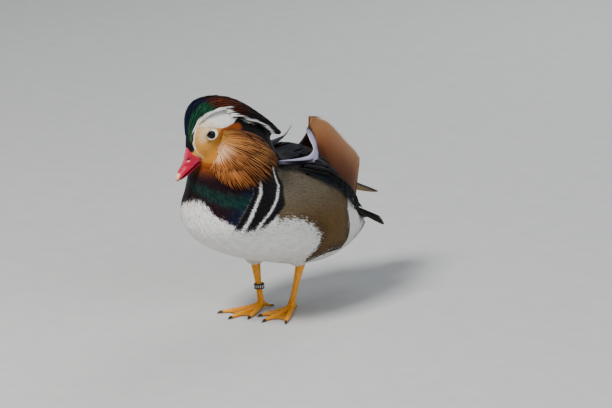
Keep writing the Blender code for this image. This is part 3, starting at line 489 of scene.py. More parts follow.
# side views (forward, up) on the body; the breast's edge as (degrees round the neck's foot, up), the stripes and
# the end of the black as (up, degrees)
neckFoot = 62
flankField = [(75, 170), (66, 118), (59.4, 105.6), (46.8, 106.4), (27.4, 101.1), (7.6, 89.1), (-.3, 79.2), (-3.2, 70),
              (-2, 61.3), (-5, 50.8), (-14.9, 44.3), (-15.5, 51.8), (-26.1, 55.6), (-39.8, 54.5), (-57.8, 52.7),
              (-61.5, 62.3), (-57.2, 78), (-54, 91.4), (-60, 100), (-60, 170)]
flankRear = flankField[10:18]
breastEdge = np.array([(-180, 112), (-120, 112), (-75, 110), (-50, 112), (-29, 122), (-10, 127), (4.5, 126.7),
                       (14, 120), (22.8, 114.1), (38.7, 107.5), (49.6, 104.1), (69, 108.3), (120, 112), (180, 112)])
stripeOne = np.array([(100, 47), (104, 49.5), (119, 60), (135, 73.6), (144, 74.7), (160, 76)])
stripeTwo = np.array([(100, 62), (108, 69), (125, 95.5), (137, 110), (149, 109), (160, 108)])
blackEnd = np.array([(100, 72), (106, 79), (119, 104), (129, 110), (137, 120), (149, 121), (160, 121)])


def bodyMarks(p, ragged):
    # ragged carries each edge a little out or in, tuft by tuft
    forward, left, up = p.T
    aside = np.degrees(np.arctan2(left, forward - neckFoot))
    turned = np.abs(aside)
    colour = np.tile(tone["white"], (len(p), 1)) * (1 + .04 * noise(p, 9, 1))[:, None]
    finish = np.tile((0.0, .03, .62, 0.0), (len(p), 1))
    sideView = np.stack([forward, up], 1)
    # brown flank with its fine bars, paler and greyer at the top
    depth = inside(sideView, flankField)
    edge = depth + 4.5 * ragged * ease(forward, -50, -30) + 1.5 * noise(p, 6, 6)
    brown = ease(edge, -2.4, 2.6) * ease(up, 44, 50)
    bark = blend("flank", "flankTop", ease(up, 88, 132))
    bark = bark * (1 + .07 * noise(p, 7, 2) - .45 * ease(depth, 16, 1) * ease(up, 112, 88))[:, None]
    colour = blend(colour, bark, brown)
    finish[:, 1] = np.maximum(finish[:, 1], .45 * brown)
    rear = lineDistance(sideView, flankRear)
    colour = blend(colour, "black", .95 * ease(rear, 1.5, .7) * ease(np.abs(left), 14, 22))
    # rump and back: dark, under the wings
    top = np.interp(forward, (-130, -100, -60, -20, 30, 60), (72, 84, 104, 132, 147, 150))
    colour = blend(colour, "back", ease(up, top - 3, top + 2) * ease(forward, 66, 58))
    colour = blend(colour, "back", ease(forward, -96, -108) * ease(up, 60, 68) * .7)
    # black band with its two white stripes
    one, two, end = (np.interp(up, *line.T) for line in (stripeOne, stripeTwo, blackEnd))
    reach = np.hypot(left, forward - neckFoot) * math.pi / 180
    low = np.interp(turned, (40, 60, 90, 125), (103, 101, 108, 118)) + 3.5 * ragged
    within = ease(turned, one - 12, one - 10) * ease((end - turned) * reach, -1.2, 1.2)
    above = ease(up, low - 2, low + 2)
    band = within * above
    colour = blend(colour, "black", band)
    finish[:, 1] *= 1 - band
    finish[:, 0] = np.maximum(finish[:, 0], .25 * band)
    for centre in (one, two):
        off = np.abs(turned - centre) * reach + .5 * ragged
        strip = ease(off, 2.3, 1.4) * ease(up, low - 6, low - 1) * ease(up, 157, 151)
        colour = blend(colour, tone["white"] * 1.05, strip)
    speckle = ease(ragged, .2, .7) * ease(up, low - 12, low - 1) * within * (1 - above)
    colour = blend(colour, "black", speckle)
    # breast: maroon, a teal gleam across it, blue towards the stripes
    edge = up - np.interp(aside, *breastEdge.T)
    chest = ease(edge + 3.0 * ragged, -2.2, 1.6) * ease(turned, one - 9.5, one - 12) * ease(forward, 58, 62)
    hide = blend("maroon", "blue", .85 * ease(turned, one - 34, one - 16))
    gleam = ease(np.abs(up - (144 - .27 * (left + 23)) + 1.5 * noise(p, 8, 3)), 9, 2) * ease(turned, 74, 50)
    hide = blend(hide, "teal", .75 * gleam) * (1 + .35 * noise(p, 5, 4))[:, None]
    colour = blend(colour, hide, chest)
    finish[:, 0] = np.maximum(finish[:, 0], .35 * chest)
    finish[:, 1] *= 1 - chest
    specks = .7 * ease(ragged, .6, .9) * ease(edge, -12, -2) * (1 - chest) * ease(turned, one - 9, one - 12)
    colour = blend(colour, "speck", specks * ease(forward, 58, 62))
    # upper breast and neck: chestnut haze under the ruff, dark nape
    neck = ease(up, 138, 150) * ease(forward, 52, 62)
    collar = blend(blend("maroon", "chestnut", ease(up, 146, 164)), "nape", ease(forward, 84, 70))
    return blend(colour, collar, neck), finish


def headMarks(p, ragged):
    spot = inHead(p)
    ahead, out, up = spot.T
    side = np.abs(out)
    spot = leftSide(spot)
    spot[:, 1] += 3.0 * (out < 0) * ease(ahead, -8, 0)  # the right brow runs nearer the middle
    flatSpot = sideMap(spot)
    scale = np.maximum(np.linalg.norm(spot, axis=1), 12) / 16

    def reachTo(line):
        return lineDistance(flatSpot, sideMap(line)) * scale

    colour = tone["nape"] * np.interp(up, (-40, 0), (.3, 1))[:, None]
    finish = np.tile((0.0, 0.0, .6, 0.0), (len(p), 1))
    # face: golden buff, cream above and before the eye, warmer to the ruff
    face, toRuff = ease(inside(flatSpot, faceField) * scale, -.6, .5), reachTo(ruffEdge)
    hide = blend("buff", "cream", ease(np.hypot(ahead, up), 15, 6) * ease(up + .25 * ahead, -4, 4))
    hide = blend(hide, "gold", ease(toRuff, 8, 0) * .85)
    hide = blend(hide, "gold", .35 * ease(ahead, 6, 16) * ease(up, 0, -8))
    colour = blend(colour, hide * (1 + .06 * noise(p, 3, 5))[:, None], face)
    colour = blend(colour, "chestnut", ease(toRuff, 6, 2) * (1 - face))
    # white patch, turning cream towards the eye
    patch = inside(flatSpot, whiteField) * scale + .35 * ragged
    colour = blend(colour, blend("white", "cream", .75 * ease(ahead, -14, 3)), ease(patch, -.5, .4))
    # crown: blue-black middle, green at its sides, copper further back and darker down the mane
    crown = ease(inside(flatSpot, crownField) * scale, -.3, .4)
    middle = np.interp(ahead, (-25, -5, 15), (9, 7, 3)) + ragged
    cap = blend("crown", "green", ease(side, middle - 1, middle + 1.2))
    cap = blend(cap, "lime", .35 * ease(ahead, 4, 15) * ease(side, 3, 5.5))
    cap = cap * (1 - .8 * ease(reachTo(browLine), 2.6, 1.2) * ease(ahead, -12, -6))[:, None]
    copper = tone["copper"] * np.interp(up, (-12, 13), (.25, 1))[:, None]
    copper = blend(tone["wine"] * .35, copper, ease(side, 2, 8))
    cap = blend(cap, copper, ease(ahead + 1.5 * ragged, -16, -25))
    cap = blend(cap, "black", ease(up, -8, -24))
    colour = blend(colour, cap, crown)
    finish[:, 0] = .2 * crown
    finish[:, 2] -= .12 * crown
    for line, wide in ((browLine, 1.0 + .6 * (out < 0)), (streaks[0], .75), (streaks[1], .5)):
        colour = blend(colour, "white", ease(reachTo(line) + .15 * ragged - wide, 0, -.45))
    colour = blend(colour, "cream", .8 * ease(reachTo(billEdge), .9, .4) * ease(ahead, 10, 15))
    colour = blend(colour, "black", ease(ahead, 16, 18.5) * ease(up, -6.5, -3.5) * ease(side, 8, 6.8))
    # feathers round the eye, thickest behind and below
    reach = 5.3 + .8 * ease(-ahead * .7 - up, -3, 5) + .12 * ragged
    return blend(colour, "white", ease(np.hypot(ahead, up * 1.2) - reach, .35, -.35)), finish


def plumage(p, ragged=0.0):
    # colour and finish (gloss, bars, roughness, own number) at places on the coat
    p = np.asarray(p, float)
    ragged = np.broadcast_to(ragged, len(p)).astype(float)
    body, bodyFinish = bodyMarks(p, ragged)
    head, headFinish = headMarks(p, ragged)
    h = inHead(p)
    share = ease(h[:, 2], -31, -26) * ease(p[:, 2], 160, 168)
    return np.clip(blend(body, head, share), 0, 1), np.clip(blend(bodyFinish, headFinish, share), 0, 1)


def colourLayers(colour, finish):
    return {"plumage": np.concatenate([colour, np.ones(colour.shape[:-1] + (1,))], -1), "finish": finish}


def paint(obj, colour, finish):
    for title, values in colourLayers(colour, finish).items():
        layer = obj.data.attributes.new(title, "FLOAT_COLOR", "POINT")
        layer.data.foreach_set("color", values.reshape(-1).astype(np.float32))


paint(skin, *plumage(skinPlaces))
skin.data.materials.append(coatMaterial("skinDown"))
keep(skin, "flank_plumage", "head", "neck", "torso")


# tufts: closed blades of twelve triangles, laid on the skin
billBase = headPlace((22, 0, -6))
bladeFaces = [(0, 2, 1), (0, 3, 2), (0, 1, 3), (1, 2, 5, 4), (2, 3, 6, 5), (3, 1, 4, 6), (4, 5, 7), (5, 6, 7),
              (6, 4, 7)]


def flow(p, out):
    # the coat's run: away from the bill, then back along the body
    return level(blend(unit(p - billBase), (-1, 0, -.12), .55 * ease(p[:, 2], 175, 125)), out)


def level(way, out):
    # the part of a way that runs along the skin
    return unit(way - (way * out).sum(-1, keepdims=True) * out)


def unwrap(p):
    # a cylinder for the body and one for the head
    body = np.stack([np.arctan2(p[:, 1], p[:, 2] - 95) / 6.4 + .5, (p[:, 0] + 140) / 270 * .62 + .01], 1)
    h = inHead(p)
    head = np.stack([np.arctan2(h[:, 1], h[:, 2] + 10) / 6.4 + .5, (h[:, 0] + 70) / 105 * .33 + .655], 1)
    return np.where((h[:, 2] > -31)[:, None] & (p[:, 2] > 160)[:, None], head, body)


def tufts(name, root, out, length, half, lift, blunt, material, spread=.16, way=None):
    n = len(root)
    ragged = rng.normal(size=n) * .45
    way = flow(root, out) if way is None else way
    right = np.cross(way, out)
    way = unit(way + right * (rng.normal(size=n) * spread)[:, None])
    first, firstOut = lay(root + way * (length * .4)[:, None])
    way = unit(way * .4 + flow(first, firstOut) * .6)
    second, secondOut = lay(first + way * (length * .4)[:, None])
    tip, tipOut = lay(second + way * (length * .2)[:, None])
    points = np.empty((n, 8, 3))
    points[:, 0] = root - out * .25
    lift = lift * rng.uniform(.8, 1.25, n)
    for i, (spot, up, wide, high) in enumerate(((first, firstOut, 1.0, .55), (second, secondOut, blunt, 1.0))):
        aside = np.cross(way, up) * (half * wide)[:, None]
        base = spot + up * (lift * high)[:, None]
        points[:, 1 + 3 * i] = base - aside
        points[:, 2 + 3 * i] = base + up * (half * .12)[:, None]
        points[:, 3 + 3 * i] = base + aside
    points[:, 7] = tip + tipOut * (lift * .9)[:, None]
    shown = points * .55 + points[:, 6:7] * .45
    colour, finish = plumage(shown.reshape(-1, 3), np.repeat(ragged, 8))
    colour = colour.reshape(n, 8, 3) * rng.uniform(.94, 1.06, n)[:, None, None]
    # painted shade and highlight: each blade darker at its root and along its sides, lighter along its ridge and tip;
    # the grey at the root is partly the real down at the feathers' bases
    colour *= np.array([.92, .96, 1, .96, .99, 1.01, .99, 1.01])[None, :, None]
    finish = finish.reshape(n, 8, 4)
    finish[:, :, 2] += rng.uniform(-.06, .06, n)[:, None]
    finish[:, :, 3] = rng.uniform(0, 1, n)[:, None]
    corner = np.array([(0, -1), (-1, -.2), (0, -.2), (1, -.2), (-1, .6), (0, .6), (1, .6), (0, 1)]) * .0015
    patch = unwrap(root)[:, None] + corner[None]
    return arrayMesh(name, points, bladeFaces, material, colourLayers(np.clip(colour, 0, 1), finish), patch)


# on the body each measure goes by height, as (heights, values); on the head by the way to the bill, as (base, gain)
tuftLook = {"length": ((45, 60, 110, 140, 165), (8.5, 8.5, 7.5, 6.5, 5.5)),
            "half": ((45, 80, 110, 150), (.75, .7, .62, .6)), "lift": ((45, 90, 125, 150), (.36, .12, .08, .16)),
            "blunt": ((45, 165), (.8, .8)), "head": ((1.3, .075), (.19, .004), (.10, .002), (.65, 0)),
            "bareEye": 6.6, "bareBill": 14}


def sizeOf(p):
    # length, half width, lift and bluntness of the blade that grows at a place
    h = inHead(p)
    face = ease(h[:, 2], -34, -26) * ease(p[:, 2], 160, 170)
    toBill = np.linalg.norm(p - billBase, axis=1)
    body = [np.interp(p[:, 2], *tuftLook[key]) for key in ("length", "half", "lift", "blunt")]
    head = [base + gain * toBill for base, gain in tuftLook["head"]]
    return blend(np.stack(body, 1), np.stack(head, 1), face).T


def bare(p):
    # no coat within the eyes' openings or on the bill's root
    h = inHead(p)
    byEye = np.linalg.norm(p[:, None] - np.array(list(eyeAt.values())), axis=2).min(1) < tuftLook["bareEye"]
    byBill = np.linalg.norm(p - billBase, axis=1) < tuftLook["bareBill"]
    return byEye | (byBill & (h[:, 0] > 21.5) & (h[:, 2] < -2))


# roots: the skin's own points, with far more of them on the face
spots = np.array([f.center for f in skin.data.polygons])
edges = np.array([e.vertices for e in skin.data.edges])
extra = np.concatenate([toBird(spots), skinPlaces[edges].mean(1)])
extraTall = inHead(extra)
covered = inside(sideMap(leftSide(extraTall)), crownField) > 3
onHead = (extraTall[:, 2] > -30) & (extra[:, 2] > 165) & (extraTall[:, 0] > -36) & ~covered
roots = np.concatenate([skinPlaces + rng.normal(size=skinPlaces.shape) * .4,
                        extra[onHead] + rng.normal(size=(onHead.sum(), 3)) * .25])
roots, outs = lay(roots)
free = ~bare(roots)
roots, outs = roots[free], outs[free]
headTall = inHead(roots)
isHead = (headTall[:, 2] > -31) & (roots[:, 2] > 160)
isFace = isHead & (headTall[:, 0] > -8)
isBelly = ~isHead & (roots[:, 2] < 88)
isBreast = ~isHead & ~isBelly & (roots[:, 0] > 58)
isFlank = ~isHead & ~isBelly & ~isBreast
isLeft = roots[:, 1] > 0
downMaterial = coatMaterial("softFeather")
for title, chosen, slot in (("coatFace", isFace, "face_plumage"), ("coatHead", isHead & ~isFace, "face_plumage"),
                            ("coatBreast", isBreast, "breast_plumage"), ("coatFlank", isFlank, "flank_plumage"),
                            ("coatBelly", isBelly, "flank_plumage")):
    for side, here in (("Left", isLeft), ("Right", ~isLeft)):
        r, o = roots[chosen & here], outs[chosen & here]
        keep(tufts(title + side, r, o, *sizeOf(r), downMaterial), slot)


# vanes: closed feathers, ring by ring from root to tip
wideRing = np.array([(-1, 0), (-.5, .8), (0, 1.25), (.5, .8), (1, 0), (.5, -.5), (0, -.7), (-.5, -.5)])
slimRing = np.array([(-1, 0), (0, 1), (1, 0), (0, -.6)])


def shells(name, points, across, reach, material, colour, finish):
    # points (n, rows, ring, 3); across and reach in mm for each of them
    n, rows, ring = points.shape[:3]
    faces, local = [], []
    for i in range(rows - 1):
        for j in range(ring):
            a, b = i * ring + j, i * ring + (j + 1) % ring
            faces.append((a, b, b + ring, a + ring))
            local += [((j + x) / ring, (i + y) / rows) for x, y in ((0, 0), (1, 0), (1, 1), (0, 1))]
    faces.append(tuple(range(ring - 1, -1, -1)))
    faces.append(tuple(range((rows - 1) * ring, rows * ring)))
    local += [(.5 + .5 * math.cos(j), .985 + .01 * math.sin(j)) for j in range(2 * ring)]
    columns = math.ceil(math.sqrt(n))
    cell = np.stack([np.arange(n) % columns, np.arange(n) // columns], 1)
    patch = (cell[:, None] + .01 + .96 * np.array(local)[None]) / columns
    own = np.broadcast_to(rng.uniform(0, 1, n)[:, None, None], across.shape)
    layers = colourLayers(np.clip(colour, 0, 1).reshape(n, -1, 3), np.clip(finish, 0, 1).reshape(n, -1, 4))
    layers["vane"] = np.stack([across, reach, own], -1).reshape(n, -1, 3)
    return arrayMesh(name, points.reshape(n, -1, 3), faces, material, layers, patch)


def vanes(name, spine, out, material, colourOf, half, shape, thick, cup, finish=None, ring=wideRing):
    # colourOf(share across, share along, places) gives the colour, and the finish too where none is named;
    # shape is the half width at root and tip, as shares, and the broadest place
    n, rows = spine.shape[:2]
    t = np.linspace(0, 1, rows)
    root, tip, broadest = shape
    low = root + (1 - root) * np.sin(math.pi / 2 * np.minimum(t / broadest, 1))
    high = tip + (1 - tip) * np.sqrt(np.clip(1 - (np.maximum(t - broadest, 0) / (1 - broadest)) ** 2, 0, 1))
    half = np.broadcast_to(half, n).astype(float)[:, None] * np.where(t < broadest, low, high)
    way = unit(np.gradient(spine, axis=1))
    right = unit(np.cross(way, out))
    up = np.cross(right, way)
    side = half[:, :, None] * ring[:, 0]
    rise = thick * ring[:, 1] * ease(half, 0, 1.2)[:, :, None] - cup * np.abs(side) * np.abs(ring[:, 0])
    points = spine[:, :, None] + right[:, :, None] * side[..., None] + up[:, :, None] * rise[..., None]
    step = np.linalg.norm(np.diff(spine, axis=1), axis=2)
    reach = np.concatenate([np.zeros((n, 1)), np.cumsum(step, 1)], 1)
    share = reach / np.maximum(reach[:, -1:], 1e-6)
    u, v, reach = (np.broadcast_to(x, side.shape) for x in (ring[:, 0], share[:, :, None], reach[:, :, None]))
    colour = colourOf(u, v, points)
    colour, made = (colour, flat(u, *finish)) if finish else colour
    return shells(name, points, side, reach, material, colour, made)


def strands(starts, ends, rows, heights, bridge=0, arch=0.0):
    # from starts to ends along the skin, kept from sinking into hollows by a few rounds of pulling straight
    t = np.linspace(0, 1, rows)
    places = starts[:, None] * (1 - t[:, None]) + ends[:, None] * t[:, None]
    if np.ndim(arch):
        places = places + arch[:, None] * (6.75 * t * t * (1 - t))[:, None]
    spine, out = lay(places, heights)
    for _ in range(bridge):
        mean = (spine[:, :-2] + spine[:, 2:]) / 2
        gain = np.maximum(((mean - spine[:, 1:-1]) * out[:, 1:-1]).sum(-1), 0)
        spine[:, 1:-1] += out[:, 1:-1] * gain[..., None]
        out[:, 1:-1] = unit(out[:, 1:-1] + .5 * (out[:, :-2] + out[:, 2:]))
    return spine, out


def strandVanes(name, sign, starts, ends, height, bridge, colourOf, **look):
    # broad vanes laid on the skin, given for the left side and flipped for the right
    spine, out = strands(flip(starts, sign), flip(ends, sign), height.shape[1], height, bridge)
    return vanes(name + sides[sign], spine, out, broad, colourOf, **look)


def flat(u, gloss, rough):
    # a plain finish: gloss, no bars, roughness
    made = np.zeros(u.shape + (4,))
    made[..., 0], made[..., 2] = gloss, rough
    return made


glossy = vaneMaterial("glossyVane", .9, .01, .2)
silky = vaneMaterial("silkyVane", 1.0, .05)
broad = vaneMaterial("broadVane", .7, 0.0, .1)


# crest: narrow plumes in many rows, over the mane's core
crestLook = {"layers": 34, "wide": 44, "span": .24, "root": 4.4, "tip": .5, "edge": 1.9, "rows": 7,
             "vane": {"half": .85, "shape": (.5, .12, .5), "thick": .3, "cup": .12, "ring": slimRing}}


def makeCrest():
    spines, facings, marks = [], [], []
    s = np.linspace(0, 1, crestLook["rows"])
    for i in range(crestLook["layers"]):
        start = i / crestLook["layers"] - .05
        count = max(7, int(crestLook["wide"] * along(maneWidth, max(start, 0) + .1)[0] / max(maneWidth)))
        across = (np.linspace(-1, 1, count) + rng.normal(size=count) * .02) * .97
        begin = start + rng.uniform(-.015, .015, count)
        end = np.minimum(begin + crestLook["span"] * rng.uniform(.85, 1.15, count), 1.0)
        t = begin[:, None] + (end - begin)[:, None] * s
        rise = crestLook["root"] + (crestLook["tip"] - crestLook["root"]) * s ** .8
        rise = rise + rng.uniform(-.35, .35, count)[:, None]
        lean = across[:, None] * (1 - .06 * s) + (rng.normal(size=count) * .02)[:, None] * s
        t = np.clip(t, 0, 1)
        spot = inHead(manePlace(t, lean, 1.0).reshape(-1, 3))
        margin = inside(sideMap(leftSide(spot)), crownField).reshape(t.shape)
        spines.append(manePlace(t, lean, rise + crestLook["edge"] * ease(margin, 4, 0) * ease(t, .75, .5)))
        facings.append(maneNormal(t, lean))
        marks.append(np.stack([t, margin], -1))
    spine, out, mark = np.concatenate(spines), np.concatenate(facings), np.concatenate(marks)
    length = np.linalg.norm(spine[:, -1] - spine[:, 0], axis=1)
    good = (length > 7) & ((mark[:, 3, 1] > .6) | (mark[:, 0, 0] > .5))
    spine, out, mark = spine[good], out[good], mark[good]
    shade = rng.uniform(.8, 1.2, len(spine))
    ragged = rng.normal(size=len(spine)) * .45

    def colourOf(u, v, points):
        places = points * .8 + points[:, -1:] * .2
        colour, finish = headMarks(places.reshape(-1, 3), np.repeat(ragged, places.shape[1] * places.shape[2]))
        colour = colour.reshape(points.shape) * shade[:, None, None, None]
        finish = finish.reshape(u.shape + (4,))
        white = ease(colour[..., 2], .3, .5)
        return colour * (1 - .3 * np.abs(u) * (1 - white))[..., None], finish

    return vanes("crest", spine, out, glossy, colourOf, **crestLook["vane"])


keep(makeCrest(), "crest_plumage", "crest")

# ruff: pointed hackles in four layers, fanned from cheek to breast and neck
ruffRoot = [(15, -19), (9, -16.5), (3, -12.5), (-2, -10), (-6, -7.5), (-9, -4)]
ruffTip = [(105, 8, 155), (101, 25, 142.5), (86, 38, 138), (60, 42, 144.5), (38, 33, 153), (45, 34, 163), (52, 33, 174)]
ruffLook = {"reach": (1, .93, .78, .52), "count": 50, "rows": 9, "rise": 2.9, "arch": 8.0,
            "rib": (.86, .60, .42), "ribEnd": (.56, .235, .075), "ribHigh": (.60, .31, .12),
            "vane": {"half": .98, "shape": (.45, .05, .45), "thick": .4, "cup": .3, "finish": (.04, .42)}}
ruffSwing = math.radians(12)  # the right ruff turns with the head, round the neck's foot


def makeRuff(sign):
    spines, facings, tall = [], [], []
    count, rows = ruffLook["count"], ruffLook["rows"]
    s = np.linspace(0, 1, rows)
    for layer, reach in enumerate(ruffLook["reach"]):
        share = np.clip((np.arange(count) + .5 + rng.uniform(-.3, .3, count)) / count, 0, 1)
        root, tip = along(ruffRoot, share), along(ruffTip, share)
        if sign < 0:
            ahead, aside = tip[:, 0] - neckFoot, -tip[:, 1]
            tip = np.stack([neckFoot + ahead * math.cos(ruffSwing) + aside * math.sin(ruffSwing),
                            -ahead * math.sin(ruffSwing) + aside * math.cos(ruffSwing), tip[:, 2]], 1)
        start = headPlace(np.stack([root[:, 0] - .8 * layer, np.full(count, sign * 18.0), root[:, 1] - .5 * layer], 1))
        end = start + (tip - start) * np.minimum(reach * rng.uniform(.93, 1.04, count), 1.02)[:, None]
        height = -.6 + (ruffLook["rise"] + .45 * layer) * np.minimum(1, 2.2 * s) + rng.uniform(-.2, .3, count)[:, None]
        arch = ruffLook["arch"] * ease(share, .55, 1)[:, None] * headAxes[2]
        spine, out = strands(start, end, rows, height, 14, arch)
        spines.append(spine)
        facings.append(out)
        tall.append(share)
    spine, out, share = np.concatenate(spines), np.concatenate(facings), np.concatenate(tall)
    shade = rng.uniform(.8, 1.2, len(spine))

    def colourOf(u, v, points):
        s = share[:, None, None]
        web = blend("gold", "chestnut", ease(v, .05, .4))
        web = blend(web, tone["wine"] * 1.3, ease(s, .6, .9) * ease(v, .2, .7) * .7)
        web = web * (1 - .93 * ease(np.abs(u), .2, .8))[..., None] * (1 - .5 * ease(s, .5, .95))[..., None]
        pale = blend(ruffLook["rib"], ruffLook["ribEnd"], ease(v, .25, .7))
        pale = blend(pale, ruffLook["ribHigh"], ease(s, .35, .65))
        rib = ease(np.abs(u), .42, .05) * ease(v, 1.02, .85)
        return blend(web, pale, rib * (1 - .7 * ease(s, .55, .95))) * shade[:, None, None, None]

    return vanes("ruff" + sides[sign], spine, out, silky, colourOf, **ruffLook["vane"])


for sign, side in sides.items():
    keep(makeRuff(sign), "ruff_plumage", "ruff_" + side.lower())


# shoulder feathers: long black ones over the wing, and lilac ones with their ends turned up
# rows from the side inwards: root, tip, half width
scapularRows = [((38, 23, 155.5), (-22, 25, 151.5), 5.5), ((36, 19, 156), (-30, 20, 152), 6.5),
                ((34, 15, 157), (-34, 15, 153), 6.5), ((30, 10.5, 157), (-32, 10, 154), 6),
                ((22, 5.6, 157), (-26, 5.4, 156), 4.2)]
scapularLook = {"count": 13, "rows": 12, "slim": .775, "height": 1.8,
                "vane": {"shape": (.6, .3, .6), "thick": .22, "cup": .06, "finish": (.05, .5)}}
plumeLine = [(36, 30, 155), (16, 33, 152.3), (-1, 34.5, 150.2), (-13, 33, 149.3), (-25, 28, 151.5), (-34, 18, 158.5),
             (-35.5, 9, 170.5)]
plumeFacing = [(0, .6, .8), (0, .6, .8), (0, .65, .76), (0, .75, .65), (.1, .9, .3), (.25, .95, .1), (.3, .95, 0)]
plumeLook = {"reach": (1.0, .86, .7), "step": np.array((0, .9, -1.1)), "rows": 22,
             "vane": {"half": (4.1, 3.6, 3.0), "shape": (.25, .08, .7), "thick": .25, "cup": .05, "finish": (.05, .45)}}


def makeScapulars(sign):
    count, t = scapularLook["count"], np.linspace(0, 1, scapularLook["rows"])
    roots, tips, halves = zip(*scapularRows)
    s = np.linspace(0, 1, count)
    starts = along(roots, s) + rng.normal(size=(count, 3)) * .5
    ends = along(tips, s) + rng.normal(size=(count, 3)) * (1.2, .5, 0)
    half = along(halves, s)[:, 0] * scapularLook["slim"]
    shorter = rng.uniform(.55, .8, count)[:, None]
    ends = np.concatenate([ends, ends * shorter + starts * (1 - shorter)])
    starts = np.concatenate([starts, starts + (1, 0, 0)])
    layer = np.repeat([0, .9], count) + np.tile([0, .35], count)
    height = scapularLook["height"] + layer[:, None] + .7 * t - 1.6 * np.exp(-t * 9)

    def colourOf(u, v, points):
        return blend("black", tone["blue"] * .5, .5 * (1 - np.abs(u)) * ease(v, .1, .5)) * .8

    return strandVanes("shoulder", sign, starts, ends, height, 4, colourOf, half=np.concatenate([half, half * .9]),
                       **scapularLook["vane"])


# tertials: broad dark feathers over the back, from the shoulders to the sails' feet
tertialRows = [((-6, 32, 146), (-45, 34, 125)), ((-8, 23, 152), (-48, 24, 134)), ((-9, 13, 156), (-62, 13, 131)),
               ((-11, 5, 157), (-68, 5, 129))]
tertialLook = {"count": 8, "rows": 12, "height": 1.2,
               "vane": {"half": 5.2, "shape": (.6, .3, .6), "thick": .22, "cup": .06, "finish": (.05, .5)}}


def makeTertials(sign):
    count, t = tertialLook["count"], np.linspace(0, 1, tertialLook["rows"])
    roots, tips = zip(*tertialRows)
    s = np.linspace(0, 1, count)
    starts, ends = along(roots, s), along(tips, s)
    ends = np.concatenate([ends, ends * .6 + starts * .4])
    starts = np.concatenate([starts, starts + (4, 0, 0)])
    height = tertialLook["height"] + np.repeat([0, .8], count)[:, None] + np.tile([0, .3], count)[:, None] + .8 * t
    inner = np.tile(s, 2)[:, None, None]

    def colourOf(u, v, points):
        share = ease(inner, .25, .7) * (1 - .5 * np.abs(u))
        return blend(tone["black"] * 1.2, tone["back"] * .7, share)

    return strandVanes("tertials", sign, starts, ends, height, 4, colourOf, **tertialLook["vane"])


def makePlumes(sign):
    # three long ones side by side: lavender inside, black outer web
    s = np.linspace(0, 1, plumeLook["rows"])
    reaches = [s * reach for reach in plumeLook["reach"]]
    spine = [along(plumeLine, t) + plumeLook["step"] * i + (0, 0, .6) for i, t in enumerate(reaches)]
    out = [unit(flip(along(plumeFacing, t), sign)) for t in reaches]

    def colourOf(u, v, points):
        inner = -sign * u
        colour = blend("lilac", "black", ease(inner, -.1, -.3) * (1 - ease(v, .66, .82)))
        colour = blend(colour, "white", .35 * ease(inner, .7, 1) * ease(v, .1, .3))
        return blend(colour, "black", .8 * ease(v, .93, 1))

    return vanes("plume" + sides[sign], flip(np.stack(spine), sign), np.stack(out), broad, colourOf,
                 **plumeLook["vane"])


for sign, side in sides.items():
    keep(makeScapulars(sign), "shoulder_plumage", "scapulars_" + side.lower())
    keep(makePlumes(sign), "shoulder_plumage")
    keep(makeTertials(sign), "shoulder_plumage")


# wing: coverts in tiers, secondaries with pale tips, primaries with buff edges
primaryLine = [(-60, 20, 124), (-84, 14.5, 112), (-110, 11, 98.5), (-147, 9, 82.5)]
wingLook = {
    "rows": 14, "secondaries": 10, "primaries": 7, "secondaryWeb": (.012, .012, .014), "blueWeb": (.008, .022, .040),
    "webEdge": (.10, .11, .13), "primaryWeb": (.026, .023, .021), "primaryEdge": (.58, .42, .24),
    "covert": (.022, .020, .020), "covertEdge": (.008, .008, .011),
    "secondaryVane": {"half": 4.0, "shape": (.12, .3, .5), "thick": .25, "cup": .06, "finish": (.25, .38)},
    "primaryVane": {"half": 4.4, "shape": (.8, .18, .7), "thick": .4, "cup": .12, "finish": (.05, .42)},
    "covertVane": {"shape": (.7, .4, .6), "thick": .2, "cup": .06, "finish": (.05, .5)}}
# tiers of coverts: how many, shift along the wing, drop, length along the wing, half width
covertTiers = ((12, -.02, -2.5, .22, 3.4), (15, -.03, 0, .18, 2.8), (17, -.03, 2.5, .14, 2.2))


def makeSecondaries(sign):
    count, t = wingLook["secondaries"], np.linspace(0, 1, wingLook["rows"])
    share = np.linspace(.07, .38, count)
    starts, ends = along(wingPad, share) + (0, 4, -4), along(wingPad, share + .6) + (0, 5.5, -8)
    height = 2.4 + np.tile([0, .4], count)[:count, None] + 1.5 * np.minimum(1, 3 * t)

    def colourOf(u, v, points):
        # blue-green with a dark outer web, white at the end
        colour = blend(wingLook["secondaryWeb"], wingLook["blueWeb"], ease(u * sign, -.2, .3) * ease(v, .1, .6))
        colour = blend(colour, wingLook["webEdge"], .5 * ease(np.abs(u), .9, .99))
        return blend(colour, "white", ease(v, .955, .985))

    return strandVanes("secondaries", sign, starts, ends, height, 6, colourOf, **wingLook["secondaryVane"])


def makePrimaries(sign):
    count, t = wingLook["primaries"], np.linspace(0, 1, wingLook["rows"])
    spines = []
    for i in range(count):
        reach = 1 - .30 * i / (count - 1)
        order = i * 3 / (count - 1)
        rise = 1.1 * (3 - order) - .9 * order * t * reach
        spines.append(along(primaryLine, t * reach) + np.stack([0 * t, .9 * order + 0 * t, rise], -1))
    spine = flip(np.stack(spines), sign)
    out = np.broadcast_to(unit(np.array([-.2, sign * .5, .85])), spine.shape)

    def colourOf(u, v, points):
        colour = blend(wingLook["primaryWeb"], wingLook["primaryEdge"], ease(u * -sign, -.45, -.95))
        return colour * (1 - .3 * ease(v, .5, 1))[..., None]

    return vanes("primaries" + sides[sign], spine, out, broad, colourOf, **wingLook["primaryVane"])


